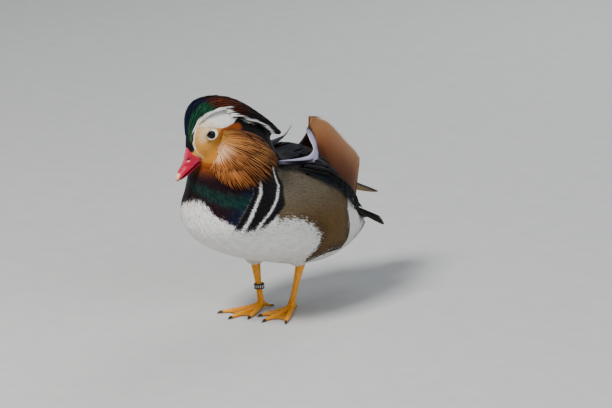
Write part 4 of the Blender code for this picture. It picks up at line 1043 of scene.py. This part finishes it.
def makeCoverts(sign):
    starts, ends, lift, half = [], [], [], []
    for tier, (many, shift, drop, long, wide) in enumerate(covertTiers):
        share = np.linspace(.16, .82, many) + shift
        starts.append(along(wingPad, share) + (0, 2.5, drop - 5))
        ends.append(along(wingPad, share + long) + (-4, 3.5, drop - 8))
        lift.append(np.full(many, 3.4 + .4 * tier) + np.tile([0, .3], many)[:many])
        half.append(np.full(many, wide))
    starts, ends, lift, half = (np.concatenate(x) for x in (starts, ends, lift, half))
    t = np.linspace(0, 1, 8)

    def colourOf(u, v, points):
        return blend(wingLook["covert"], wingLook["covertEdge"], ease(np.abs(u), .2, .8))

    height = lift[:, None] + 1.2 * t - 1.6 * np.exp(-t * 8)
    return strandVanes("coverts", sign, starts, ends, height, 3, colourOf, half=half, **wingLook["covertVane"])


for sign, side in sides.items():
    keep(makeSecondaries(sign), "wing_plumage", "wing_" + side.lower())
    keep(makePrimaries(sign), "wing_plumage")
    keep(makeCoverts(sign), "wing_plumage")


# sail: a broad upright feather; s runs from its front to its rear edge, t from foot to rim
sailLow = [(-46, 15, 141), (-45, 25, 132), (-54, 31, 117), (-72, 31, 97), (-86, 28, 80)]
sailHigh = [(-51.3, 1.6, 177.5), (-74, 2.4, 171), (-97.5, 5, 149), (-117, 9, 126.5), (-101, 17, 105)]
sailLook = {
    "rows": 34, "columns": 30, "thick": .22, "shaft": .5, "shaftAt": .9, "ripple": .18, "bulge": 10, "hollow": -6,
    "web": [(.07, .025, .012), (.125, .047, .023), (.21, .085, .040), (.34, .165, .080), (.43, .24, .125)],
    "rim": (.86, .82, .76)}
sailMaterial = vaneMaterial("sailVane", .45, .03)
# where black begins: up the rear, as (s, t), and back from the front edge, as (t, s)
sailRear = (.745, .78, .82, .86, .9, .94, 1), (1.02, .86, .72, .58, .44, .28, -.1)
sailFront = (0, .3, .6, .8, 1), (.11, .10, .07, .0, -.05)


def makeSail(sign):
    columns = sailLook["columns"]
    t = np.linspace(0, 1, sailLook["rows"])[:, None]
    s = np.linspace(0, 1, columns)[None] + 0 * t
    foot, top = along(sailLow, s), along(sailHigh, s)
    bulge = np.sin(math.pi * t) * (sailLook["hollow"] + sailLook["bulge"] * np.minimum(1, 2.2 * s))
    bulge = bulge * (1 - .9 * ease(s, .6, .85))
    middle = foot + (top - foot) * t[..., None] + bulge[..., None] * (0, 1, 0)
    ripple = sailLook["ripple"] * np.sin(s * 75 + 7 * t) * ease(t, 0, .2)
    shaft = sailLook["shaft"] * np.exp(-((s - sailLook["shaftAt"]) / .014) ** 2)
    thick = sailLook["thick"] + shaft + .12 * ease(t, 1, .9)
    front, back = (middle + (ripple + way * thick)[..., None] * (0, 1, 0) for way in (1, -1))
    points = np.concatenate([front, back[:, ::-1]], 1)[None]
    s = np.concatenate([s, s[:, ::-1]], 1)[None]
    t = np.broadcast_to(t, s.shape)
    outer = np.arange(2 * columns) < columns  # the face turned away from the bird
    if sign < 0:
        points, s, t, outer = flip(points, -1)[:, :, ::-1], s[:, :, ::-1], t[:, :, ::-1], outer[::-1]
    colour = along(sailLook["web"], t)
    colour = blend(colour, sailLook["rim"], ease(t, .935, .965) * ease(s, .10, .2) * ease(s, .78, .74))
    rear, front = np.interp(s, *sailRear), np.interp(t, *sailFront)
    colour = blend(colour, "black", ease(t, rear - .03, rear + .03))
    colour = blend(colour, "black", ease(s, front + .02, front - .02) * outer)
    return shells("sail" + sides[sign], points, t * 38, s * 70, sailMaterial, colour, flat(s, .02, .48))


for sign, side in sides.items():
    keep(makeSail(sign), "sail_feather", "sail_" + side.lower())


# tail: long feathers fanned from the rump, coverts above, white ones below
tailLook = {
    "count": 12, "fan": math.radians(8), "rows": 10, "length": 59, "root": (-100, 85), "ventCount": 14,
    "web": (.05, .045, .036), "covert": (.05, .055, .045), "covertBlue": (.012, .035, .05),
    "vane": {"half": 6.6, "shape": (.75, .3, .75), "thick": .4, "cup": .12, "finish": (.08, .45)},
    "covertVane": {"half": 4.2, "shape": (.6, .2, .6), "thick": .4, "cup": .15, "finish": (.2, .4)},
    "ventVane": {"half": 2.6, "shape": (.6, .2, .6), "thick": .3, "cup": .2, "finish": (0, .6)}}


def makeTail():
    count, rows = tailLook["count"], tailLook["rows"]
    t = np.linspace(0, 1, rows)
    spines, facings = [], []
    for i in range(count):
        side = 1 if i % 2 else -1
        order = (i // 2) * 4 / 6
        angle = side * tailLook["fan"] * (order + .5) / 4
        run = tailLook["length"] * (1 - .045 * order) * t
        spines.append(np.stack([tailLook["root"][0] - run * math.cos(angle), side * (1.2 + 1.9 * order)
                                + run * math.sin(angle), tailLook["root"][1] - .3 * i - 28 * t], -1))
        facings.append(np.broadcast_to((0, side * .08 * order, 1.0), (rows, 3)))

    def colourOf(u, v, points):
        return np.array(tailLook["web"]) * (1 + .5 * ease(np.abs(u), .5, 1))[..., None]

    return vanes("tail", np.stack(spines), unit(np.stack(facings)), broad, colourOf, **tailLook["vane"])


def makeTailCoverts():
    starts, ends = [], []
    for tier, (many, back, long) in enumerate(((9, -78, 34), (9, -88, 36), (8, -98, 34))):
        across = np.linspace(-1, 1, many)
        starts.append(np.stack([back + 5 * np.abs(across), across * (13 - 2 * tier)], 1))
        ends.append(np.stack([back - long + 7 * np.abs(across), across * (11 - 2 * tier)], 1))
    a, b = np.concatenate(starts), np.concatenate(ends)
    top = np.interp(a[:, 0], (-122, -108, -90, -70), (69, 81, 102, 125)) + 1.0 - .3 * np.abs(a[:, 1])
    tip = np.interp(b[:, 0], (-140, -122, -108, -90), (64, 74, 83, 100)) + 3.5 - .3 * np.abs(b[:, 1])
    a, b = np.column_stack([a, top]), np.column_stack([b, tip])
    s = np.linspace(0, 1, 8)[:, None]
    spine = a[:, None] * (1 - s) + b[:, None] * s + upright * 3.2 * np.sin(math.pi * s)
    out = unit(np.stack([np.full(len(a), .35), a[:, 1] * .045, np.ones(len(a))], 1))[:, None]

    def colourOf(u, v, points):
        return blend(tailLook["covert"], tailLook["covertBlue"], ease(v, .2, .8))

    out = np.broadcast_to(out, spine.shape)
    return vanes("tailCoverts", spine, out, broad, colourOf, **tailLook["covertVane"])


def makeVent():
    # under the tail: soft white feathers
    across = np.linspace(-1, 1, tailLook["ventCount"])
    starts, ends = [], []
    for tier, (back, long) in enumerate(((-84, 30), (-96, 30), (-108, 28))):
        bow = np.sqrt(1.05 - across ** 2)
        starts.append(np.stack([back + 0 * across, across * (20 - 6 * tier), 60 - 12 * bow], 1))
        ends.append(np.stack([back - long + 5 * across ** 2, across * (14 - 4 * tier), 60 - 9 * bow], 1))
    a, b = np.concatenate(starts), np.concatenate(ends)
    height = .8 + .9 * np.tile([0, .4], len(a))[:len(a), None] * np.ones(8)
    spine, out = strands(a, b, 8, height, 2)

    def colourOf(u, v, points):
        colour = blend("white", tone["lilac"] * 1.2, .4 * ease(v, .3, 1))
        return colour * (1 - .12 * np.abs(u))[..., None]

    return vanes("ventFeathers", spine, out, silky, colourOf, **tailLook["ventVane"])


keep(makeTail(), "wing_plumage", "tail")
keep(makeTailCoverts(), "wing_plumage")
keep(makeVent(), "flank_plumage")


# eyes: wet balls with a dark brown iris, and lids that hug them
def wetMaterial():
    mat, tree, shader = newMaterial("wetEye")
    flecks = noiseOf(tree, objectPlace(tree), 2500.0, 2.0)
    colour = mixColour(tree, "MULTIPLY", flecks, attribute(tree, "plumage"), (.5, .4, .35, 1))
    for title, value in (("Base Color", colour), ("Roughness", .03), ("Specular IOR Level", .3), ("Coat Weight", .3)):
        feed(tree, shader.inputs[title], value)
    return mat


def colourBy(obj, shade):
    places = vertexPlaces(obj)
    paint(obj, np.clip(shade(places), 0, 1), np.zeros((len(places), 4)))
    return obj


eyeLook = {"radius": 5.4, "wide": 4.3, "high": 3.45, "pupil": (.004, .003, .003), "iris": (.016, .008, .005),
           "rim": (.010, .006, .005), "lid": (.02, .012, .01), "pupilAngle": 21, "irisAngle": 40}
# the lids' rows from the opening outwards: wide, high, lift over the ball or skin
lidRows = [(1.0, 1.0, .05), (1.02, 1.03, .36), (1.1, 1.13, .5), (1.2, 1.26, .45), (1.33, 1.42, .1), (1.45, 1.58, -.3),
           (1.38, 1.5, -1.2), (1.15, 1.2, -.9)]
wet = wetMaterial()
lidMaterial = coatMaterial("lidSkin", .6)


def eyeAxes(sign):
    facing = unit(np.array([.12, sign, .05]) @ headAxes)
    ahead = unit(headAxes[0] - facing * (headAxes[0] @ facing))
    up = np.cross(facing, ahead)
    return facing, ahead, up if up @ headAxes[2] > 0 else -up


def makeEye(sign):
    facing = eyeAxes(sign)[0]
    bm = bmesh.new()
    bmesh.ops.create_uvsphere(bm, u_segments=40, v_segments=28, radius=eyeLook["radius"] * mm)
    bmesh.ops.rotate(bm, verts=bm.verts, matrix=worldWay(facing).to_track_quat("Z", "Y").to_matrix())
    bmesh.ops.translate(bm, verts=bm.verts, vec=toWorld(eyeAt[sign]))

    def shade(p):
        off = np.degrees(np.arccos(np.clip(unit(p - eyeAt[sign]) @ facing, -1, 1)))
        colour = blend(eyeLook["pupil"], eyeLook["iris"], ease(off, eyeLook["pupilAngle"], eyeLook["pupilAngle"] + 3))
        return blend(colour, eyeLook["rim"], ease(off, eyeLook["irisAngle"], eyeLook["irisAngle"] + 6))

    return colourBy(finishMesh("eye" + sides[sign], bm, wet), shade)


def makeLids(sign):
    facing, ahead, up = eyeAxes(sign)
    a, core = circle(56), eyeLook["radius"]
    rings = []
    for wide, high, lift in lidRows:
        x, y = eyeLook["wide"] * wide * np.cos(a), eyeLook["high"] * high * np.sin(a) * (1 - .06 * np.cos(a))
        radius = np.hypot(x, y)
        deep = np.sqrt(core ** 2 - np.minimum(radius, core - .2) ** 2) - .55 * np.maximum(radius - 4.6, 0)
        places = eyeAt[sign] + ahead * x[:, None] + up * y[:, None] + facing * (deep + lift)[:, None]
        if lift > -.5:  # all but the hidden rows go over to the skin
            spot, out = lay(places)
            places = blend(places, spot + out * max(lift, .1), ease(radius, core, core + 1.2))
        rings.append(places)
    bm = bmesh.new()
    loft(bm, rings, False, True)

    def shade(p):
        x, y = (p - eyeAt[sign]) @ ahead / eyeLook["wide"], (p - eyeAt[sign]) @ up / eyeLook["high"]
        return blend(eyeLook["lid"], plumage(p)[0], ease(np.hypot(x, y), 1.1, 1.24))

    return colourBy(finishMesh("lids" + sides[sign], bm, lidMaterial), shade)


for sign, side in sides.items():
    keep(makeEye(sign), "eye", "eye_" + side.lower())
    keep(makeLids(sign), "face_plumage")


fringeLook = {"count": 520, "length": 2.0, "half": .36, "lift": .42, "blunt": .6, "spread": .15}


def eyeFringe(sign):
    # small feathers that ring the lids and point away from the eye
    facing, ahead, up = eyeAxes(sign)
    many = fringeLook["count"]
    a = rng.uniform(0, 2 * math.pi, many)
    grow = rng.uniform(1.28, 2.0, many)
    x, y = eyeLook["wide"] * grow * np.cos(a), eyeLook["high"] * grow * 1.06 * np.sin(a)
    root, out = lay(eyeAt[sign] + facing * 4.0 + ahead * x[:, None] + up * y[:, None])
    radial = unit(ahead * np.cos(a)[:, None] + up * np.sin(a)[:, None])
    way = level(radial * .8 + flow(root, out) * .7, out)
    sizes = [np.full(many, fringeLook[key]) for key in ("length", "half", "lift", "blunt")]
    return tufts("eyeFringe" + sides[sign], root, out, *sizes, downMaterial, fringeLook["spread"], way)


for sign in sides:
    keep(eyeFringe(sign), "face_plumage")


# bill: two lofts, nail, nostrils and a mouth line between them; rows are ahead, low, high, half width
upperBill = [(13, -16.3, 1, 8.2), (21, -16.3, .6, 8), (25, -16.4, -2, 7.6), (29.5, -16.5, -6, 7),
             (34.5, -16.5, -9.2, 6.5), (39.5, -16.6, -11.3, 6), (44, -16.9, -12.7, 5.2), (47.2, -17.5, -13.7, 3.9),
             (49, -18.2, -15.6, 2)]
lowerBill = [(12, -22.2, -16.9, 7), (23, -21.4, -16.8, 6.7), (31, -20.5, -16.9, 6), (39, -19.8, -17.1, 5.1),
             (44.8, -19.2, -17.6, 3.6), (46.4, -19, -18, 1.8)]
# the ridge colour is a painted highlight, paler pink along the top of the bill
billLook = {"red": (.47, .022, .055), "ridge": (.66, .14, .19), "nail": (.80, .50, .36), "hole": (.02, .005, .005),
            "mouth": (.10, .01, .015), "nostril": (28.5, -8.4), "nailFrom": 43.2, "nailLift": .35}
horn = hornMaterial("billHorn", .2, .25, .35)


def billRing(row, upper, turns=36):
    # the upper half has a broad edge below and a ridge above
    ahead, low, high, half = row
    a = circle(turns)
    x, z = half * np.cos(a), np.sin(a)
    if upper:
        x = x * (1 - .10 * np.maximum(z, 0))
        z = low + 1.1 + np.where(z > 0, (high - low - 1.1) * np.abs(z) ** 1.15, 1.1 * z)
    else:
        z = high - .9 + np.where(z < 0, (high - .9 - low) * z, .9 * z)
    return headPlace(np.stack([np.full(turns, ahead), x, z], 1))


def nostril(spot, long, tall, drop=0.0):
    # 1 on the edge of an oval round the nostril
    ahead, up = billLook["nostril"]
    return ((spot[:, 0] - ahead) / long) ** 2 + ((spot[:, 2] - up - drop) / tall) ** 2


def makeBill(upper):
    bm = bmesh.new()
    shares = 1 - (1 - np.linspace(0, 1, 34)) ** 1.25
    loft(bm, [billRing(row, upper) for row in along(upperBill if upper else lowerBill, shares)])
    bmesh.ops.recalc_face_normals(bm, faces=bm.faces)
    bm.normal_update()
    h = inHead(toBird([v.co for v in bm.verts]))
    push = .05 * np.sin(h[:, 0] * 3.2 + 2 * np.sin(h[:, 1]))
    if upper:
        # nostrils and their rims, a groove above the mouth, and the raised nail at the end
        push += .35 * np.exp(-(nostril(h, 3.9, 2.1, .3) - 1) ** 2 * 6) - 1.5 * np.exp(-nostril(h, 2.5, 1.15) * 1.4)
        push -= .30 * np.exp(-((h[:, 2] + 14.6) / .5) ** 2) * ease(h[:, 0], 47, 44)
        nail = ease(h[:, 0], billLook["nailFrom"], billLook["nailFrom"] + 1.2) * ease(np.abs(h[:, 1]), 3.3, 2.4)
        push += billLook["nailLift"] * nail
    pushOut(bm, push)

    def shade(p):
        spot = inHead(p)
        out = np.abs(spot[:, 1])
        red = np.array(billLook["red"]) * (1 + .2 * noise(p, 4, 7))[:, None]
        # painted highlight: a paler pink strip along the top of the bill
        colour = blend(red, billLook["ridge"], .6 * ease(out, 3.4, .6) * ease(spot[:, 2], -14, -8))
        nail = ease(spot[:, 0], 43.0, 44.6) * ease(out, 4.2, 3)
        colour = blend(colour, billLook["nail"], nail if upper else nail * .6)
        if upper:
            colour = blend(colour, billLook["hole"], ease(nostril(spot, 2.2, 1.0), 1.3, .5))
        mouth = ease(spot[:, 2], -15.6, -16.4) if upper else ease(spot[:, 2], -17.6, -17.0)
        return blend(colour, billLook["mouth"], .7 * mouth)

    return colourBy(finishMesh("billUpper" if upper else "billLower", bm, horn), shade)


keep(makeBill(True), "bill", "bill_upper")
keep(makeBill(False), "bill", "bill_lower")
print("bill")


# legs and feet: scutes in front, fine scales behind, webs between the toes
ankles = {1: np.array([-1, 18, 8]), -1: np.array([11, -10, 8])}
toeRows = [("inner", -20, 33), ("middle", 2, 42), ("outer", 30, 39)]  # degrees outwards, length
toeShape = np.array([(0, 5, 3.1), (.25, 3.2, 2.6), (.5, 2, 2.5), (.78, 1.7, 2.3), (1, 1.5, 1.6)])  # share, up, radius
hindShape = [(0, 6, 2.6), (4.5, 4.2, 1.9), (11, 1.6, 1.3)]
legLook = {"radii": [5.4, 4.4, 3.7, 3.1, 2.85, 2.85, 3.3], "scute": 2.3, "scuteHigh": .22, "ring": 2.0, "ringHigh": .24,
           "voxel": .42, "webThick": .8, "skin": (.80, .34, .035), "pale": (.86, .58, .22)}
clawLook = {"front": (1.5, 5.5), "hind": (1.1, 3.85), "horn": (.035, .025, .02), "root": (.16, .10, .05)}
legSkin = hornMaterial("legScales", .32, .3, .15, 1300.0, .35)
clawHorn = hornMaterial("clawHorn", .25, .4, .2, 700.0)


def legShade(p):
    colour = np.array(legLook["skin"]) * (1 + .10 * noise(p, 3, 8))[:, None]
    return blend(colour, legLook["pale"], .35 * ease(noise(p, 2.3, 9), .35, .8))


def crossWay(way):
    return np.array([-way[1], way[0], 0])


def toeWay(sign, angle):
    a = math.radians(angle) * sign
    return np.array([math.cos(a), math.sin(a), 0])


def hindWay(sign):
    return unit(np.array([-1, -sign * .35, 0]))


def makeShank(sign):
    hock, ankle = hocks[sign], ankles[sign]
    top = hock + (hock - ankle) * .30
    axis = unit(ankle - top)
    ahead = unit(np.array([1.0, 0, 0]) - axis * axis[0])
    aside = np.cross(axis, ahead)
    length = np.linalg.norm(ankle - top)
    a = circle(28)
    front = ease(np.cos(a), .1, .6)
    rings = []
    for t in np.linspace(0, 1, 130):
        step = (t * length / legLook["scute"]) % 1
        radius = along(legLook["radii"], t)[0] + front * legLook["scuteHigh"] * (1 - step) ** .6 * min(1, step * 9)
        radius = radius + (1 - front) * .07 * np.sin(a * 9 + 3 * math.sin(t * 40)) * math.sin(t * length * 4.2)
        way = ahead * np.cos(a)[:, None] * 1.06 + aside * np.sin(a)[:, None] * .94
        rings.append(top + (ankle - top) * t + way * radius[:, None])
    bm = bmesh.new()
    loft(bm, rings)
    return colourBy(finishMesh("shank" + sides[sign], bm, legSkin), legShade)


def makeWeb(bm, base, first, second):
    # a thin sheet with a hollow front edge
    sheet = bmesh.ops.create_grid(bm, x_segments=14, y_segments=14, size=mm)["verts"]
    for v in sheet:
        s, t = v.co.x / mm / 2 + .5, v.co.y / mm / 2 + .5
        reach = 1 - .16 * math.sin(math.pi * s)
        spot = base + ((first - base) * (1 - s) + (second - base) * s) * t * reach
        v.co = toWorld(spot + (0, 0, .75 + .15 * math.sin(s * 38) * t + .9 * (1 - t)))
    grown = bmesh.ops.extrude_face_region(bm, geom=list({f for v in sheet for f in v.link_faces}))["geom"]
    raised = [g for g in grown if isinstance(g, bmesh.types.BMVert)]
    bmesh.ops.translate(bm, verts=raised, vec=(0, 0, legLook["webThick"] * mm))


def makeFoot(sign):
    base = ankles[sign] * (1, 1, 0)
    bm = bmesh.new()
    share = np.linspace(0, 1, 26)
    shape = along(toeShape[:, 1:], np.interp(share, toeShape[:, 0], np.linspace(0, 1, 5)))
    knuckle = .35 * np.exp(-((share - .42) / .07) ** 2) + .3 * np.exp(-((share - .72) / .06) ** 2)
    lines, tips = [], []
    for _, angle, length in toeRows:
        way = toeWay(sign, angle) * length
        side = unit(crossWay(way))
        loft(bm, [ellipse(base + way * t + (0, 0, up), side * (r + k) * .92, upright * (r + k) * .82, 18)
                  for t, (up, r), k in zip(share, shape, knuckle)])
        lines.append((base, base + way))
        tips.append(base + way * .92)
    for first, second in zip(tips, tips[1:]):
        makeWeb(bm, base, first, second)
    back = hindWay(sign)
    loft(bm, [ellipse(base + back * t + (0, 0, up), crossWay(back) * r, upright * r, 14)
              for t, up, r in along(hindShape, np.linspace(0, 1, 14))])
    ball(bm, base + (0, 0, 5.4), (4.2, 4.4, 5))
    bm = remeshed(finishMesh("footRaw", bm), legLook["voxel"], 3)
    p = toBird([v.co for v in bm.verts])
    best, push = np.full(len(p), 1e9), np.zeros(len(p))
    for a, b in lines:
        run = np.linalg.norm(b - a)
        t = np.clip((p - a) @ (b - a) / run ** 2, 0, 1)
        gap = np.linalg.norm((p - a - t[:, None] * (b - a))[:, :2], axis=1)
        step = (t * run / legLook["ring"]) % 1
        ridge = legLook["ringHigh"] * (1 - step) ** .7 * np.minimum(1, step * 8) * ease(gap, 2.4, 1.6)
        nearer = gap < best
        push[nearer] = (ridge + .05 * np.sin(p[:, 0] * 5) * np.sin(p[:, 1] * 5) * ease(gap, 1.6, 2.6))[nearer]
        best = np.minimum(best, gap)
    pushOut(bm, push * [max(v.normal.z, 0) for v in bm.verts])
    for v in bm.verts:
        v.co.z = max(v.co.z, .05 * mm)

    def shade(q):
        # the webs are darker than the toes
        gap = np.min([lineDistance(q[:, :2], (a[:2], b[:2])) for a, b in lines], axis=0)
        return legShade(q) * (1 - .25 * ease(gap, 1.8, 3.2))[:, None]

    return colourBy(finishMesh("foot" + sides[sign], bm, legSkin), shade)


def makeClaw(name, root, ahead, radius, length):
    share = np.linspace(0, 1, 14)
    side = crossWay(ahead)
    rise = np.interp(share, (0, .5, .85, 1), (1.5, 1.75, 1.0, .4))
    size = np.interp(share, (0, .5, .85, 1), (.95, .78, .42, .12)) * radius
    bm = bmesh.new()
    loft(bm, [ellipse(root + ahead * (.1 + length * t) + (0, 0, up), side * r * .85, upright * min(r, up - .05), 14)
              for t, up, r in zip(share, rise, size)])
    tip = root + ahead * length

    def shade(p):
        return blend(clawLook["horn"], clawLook["root"], ease(np.linalg.norm(p - tip, axis=1) / length, .6, 1))

    return colourBy(finishMesh(name, bm, clawHorn), shade)


for sign, side in sides.items():
    keep(makeShank(sign), "leg_skin", "leg_" + side.lower())
    keep(makeFoot(sign), "leg_skin", "foot_" + side.lower())
    claws = [(title, toeWay(sign, angle), length, clawLook["front"]) for title, angle, length in toeRows]
    for title, way, length, sizes in claws + [("hind", hindWay(sign), 11, clawLook["hind"])]:
        claw = makeClaw("claw" + title.capitalize() + side, ankles[sign] * (1, 1, 0) + way * length, way, *sizes)
        keep(claw, "claw", "claw_" + title + "_" + side.lower())
print("legs")


# ring: a loose, tilted band with plain pale bars
ringLook = {"inner": 4.0, "outer": 5.0, "half": 2.5, "lean": math.radians(7), "place": .56, "aside": .4, "bar": 24,
            "body": (.014, .014, .015), "mark": (.72, .72, .70)}


def makeBand():
    hock, ankle = hocks[-1], ankles[-1]
    axis = worldWay(hock - ankle).normalized()
    aside = Vector((0, 1, 0)).cross(axis).normalized()
    turned = Matrix.Rotation(ringLook["lean"], 3, axis.cross(aside)) @ axis.to_track_quat("Z", "Y").to_matrix()
    middle = Vector(toWorld(hock + (ankle - hock) * ringLook["place"])) + aside * ringLook["aside"] * mm
    inner, outer, half = ringLook["inner"], ringLook["outer"], ringLook["half"]
    edge = [(inner, half - .3), (inner + .15, half - .08), (outer - .2, half), (outer - .03, half - .15)]
    profile = [(r, -z) for r, z in edge] + [(outer, -2.2 + .4 * i) for i in range(12)] + edge[::-1]
    a = circle(120)
    rings = [np.stack([r * np.cos(a), r * np.sin(a), z + 0 * a], 1) for r, z in profile]
    bm = bmesh.new()
    loft(bm, [toBird([middle + turned @ Vector(p) * mm for p in ring]) for ring in rings], False, True)
    back = turned.inverted()

    def shade(p):
        own = np.array([back @ (Vector(q) - middle) for q in toWorld(p)]) / mm
        bar = (np.degrees(np.arctan2(own[:, 1], own[:, 0])) / ringLook["bar"]) % 1
        mark = ease(np.abs(bar - .5), .24, .18) * ease(np.abs(own[:, 2]), 1.5, 1.2)
        mark = mark * ease(np.hypot(own[:, 0], own[:, 1]), outer - .15, outer - .05)
        return blend(ringLook["body"], ringLook["mark"], mark)

    return colourBy(finishMesh("legBand", bm, hornMaterial("bandPlastic", .22, .2, .2, 1500.0, .08)), shade)


keep(makeBand(), "ring", "leg_band")


# floor, light and camera
toCamera = Vector((.595, -.761, .259)).normalized()
toRight = Vector((.788, .616, 0)).normalized()
sky = Vector((0, 0, 1))
stageLook = {
    "floor": ((.50, .51, .52, 1), (.58, .58, .57, 1)), "world": (.62, .66, .70, 1), "worldStrength": .38,
    # name, place, watts, size in metres, colour
    "lights": (("key", toCamera * 1.3 - toRight * 1.1 + sky * 1.7, 62, .7, (1, .97, .93)),
               ("fill", toCamera * 1.6 + toRight * 1.6 + sky * .7, 14, 1.6, (.93, .96, 1)),
               ("rim", toCamera * -1.6 + toRight * .7 + sky * 1.5, 9, .9, (1, 1, 1))),
    "lightAim": Vector((0, 0, .1)), "aim": Vector((.0064, .0214, .0954)), "away": 3.5, "lens": 216.7}

mat, tree, shader = newMaterial("paleFloor")
clouds = noiseOf(tree, objectPlace(tree), 40.0, 5.0)
feed(tree, shader.inputs["Base Color"], mixColour(tree, "MIX", clouds, *stageLook["floor"]))
shader.inputs["Roughness"].default_value = .8
bm = bmesh.new()
bmesh.ops.create_grid(bm, x_segments=8, y_segments=8, size=6)
finishMesh("floor", bm, mat)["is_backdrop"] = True

for name, spot, energy, size, colour in stageLook["lights"]:
    data = bpy.data.lights.new(name, "AREA")
    data.energy, data.size, data.color = energy, size, colour
    lamp = placed(name, data)
    lamp.location = spot
    lamp.rotation_euler = (stageLook["lightAim"] - spot).to_track_quat("-Z", "Y").to_euler()
world = bpy.data.worlds.new("studio")
world.use_nodes = True
world.node_tree.nodes["Background"].inputs["Color"].default_value = stageLook["world"]
world.node_tree.nodes["Background"].inputs["Strength"].default_value = stageLook["worldStrength"]
bpy.context.scene.world = world

bpy.context.scene.view_settings.look = "AgX - Medium High Contrast"
lens = bpy.data.cameras.new("camera")
lens.lens, lens.sensor_width = stageLook["lens"], 36
camera = placed("camera", lens)
camera.location = stageLook["aim"] + toCamera * stageLook["away"]
camera.rotation_euler = toCamera.to_track_quat("Z", "Y").to_euler()
bpy.context.scene.camera = camera
print("stage")

sizes = {"cad": [list(v) for v in cadBox], "visual": [list(v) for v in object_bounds()]}
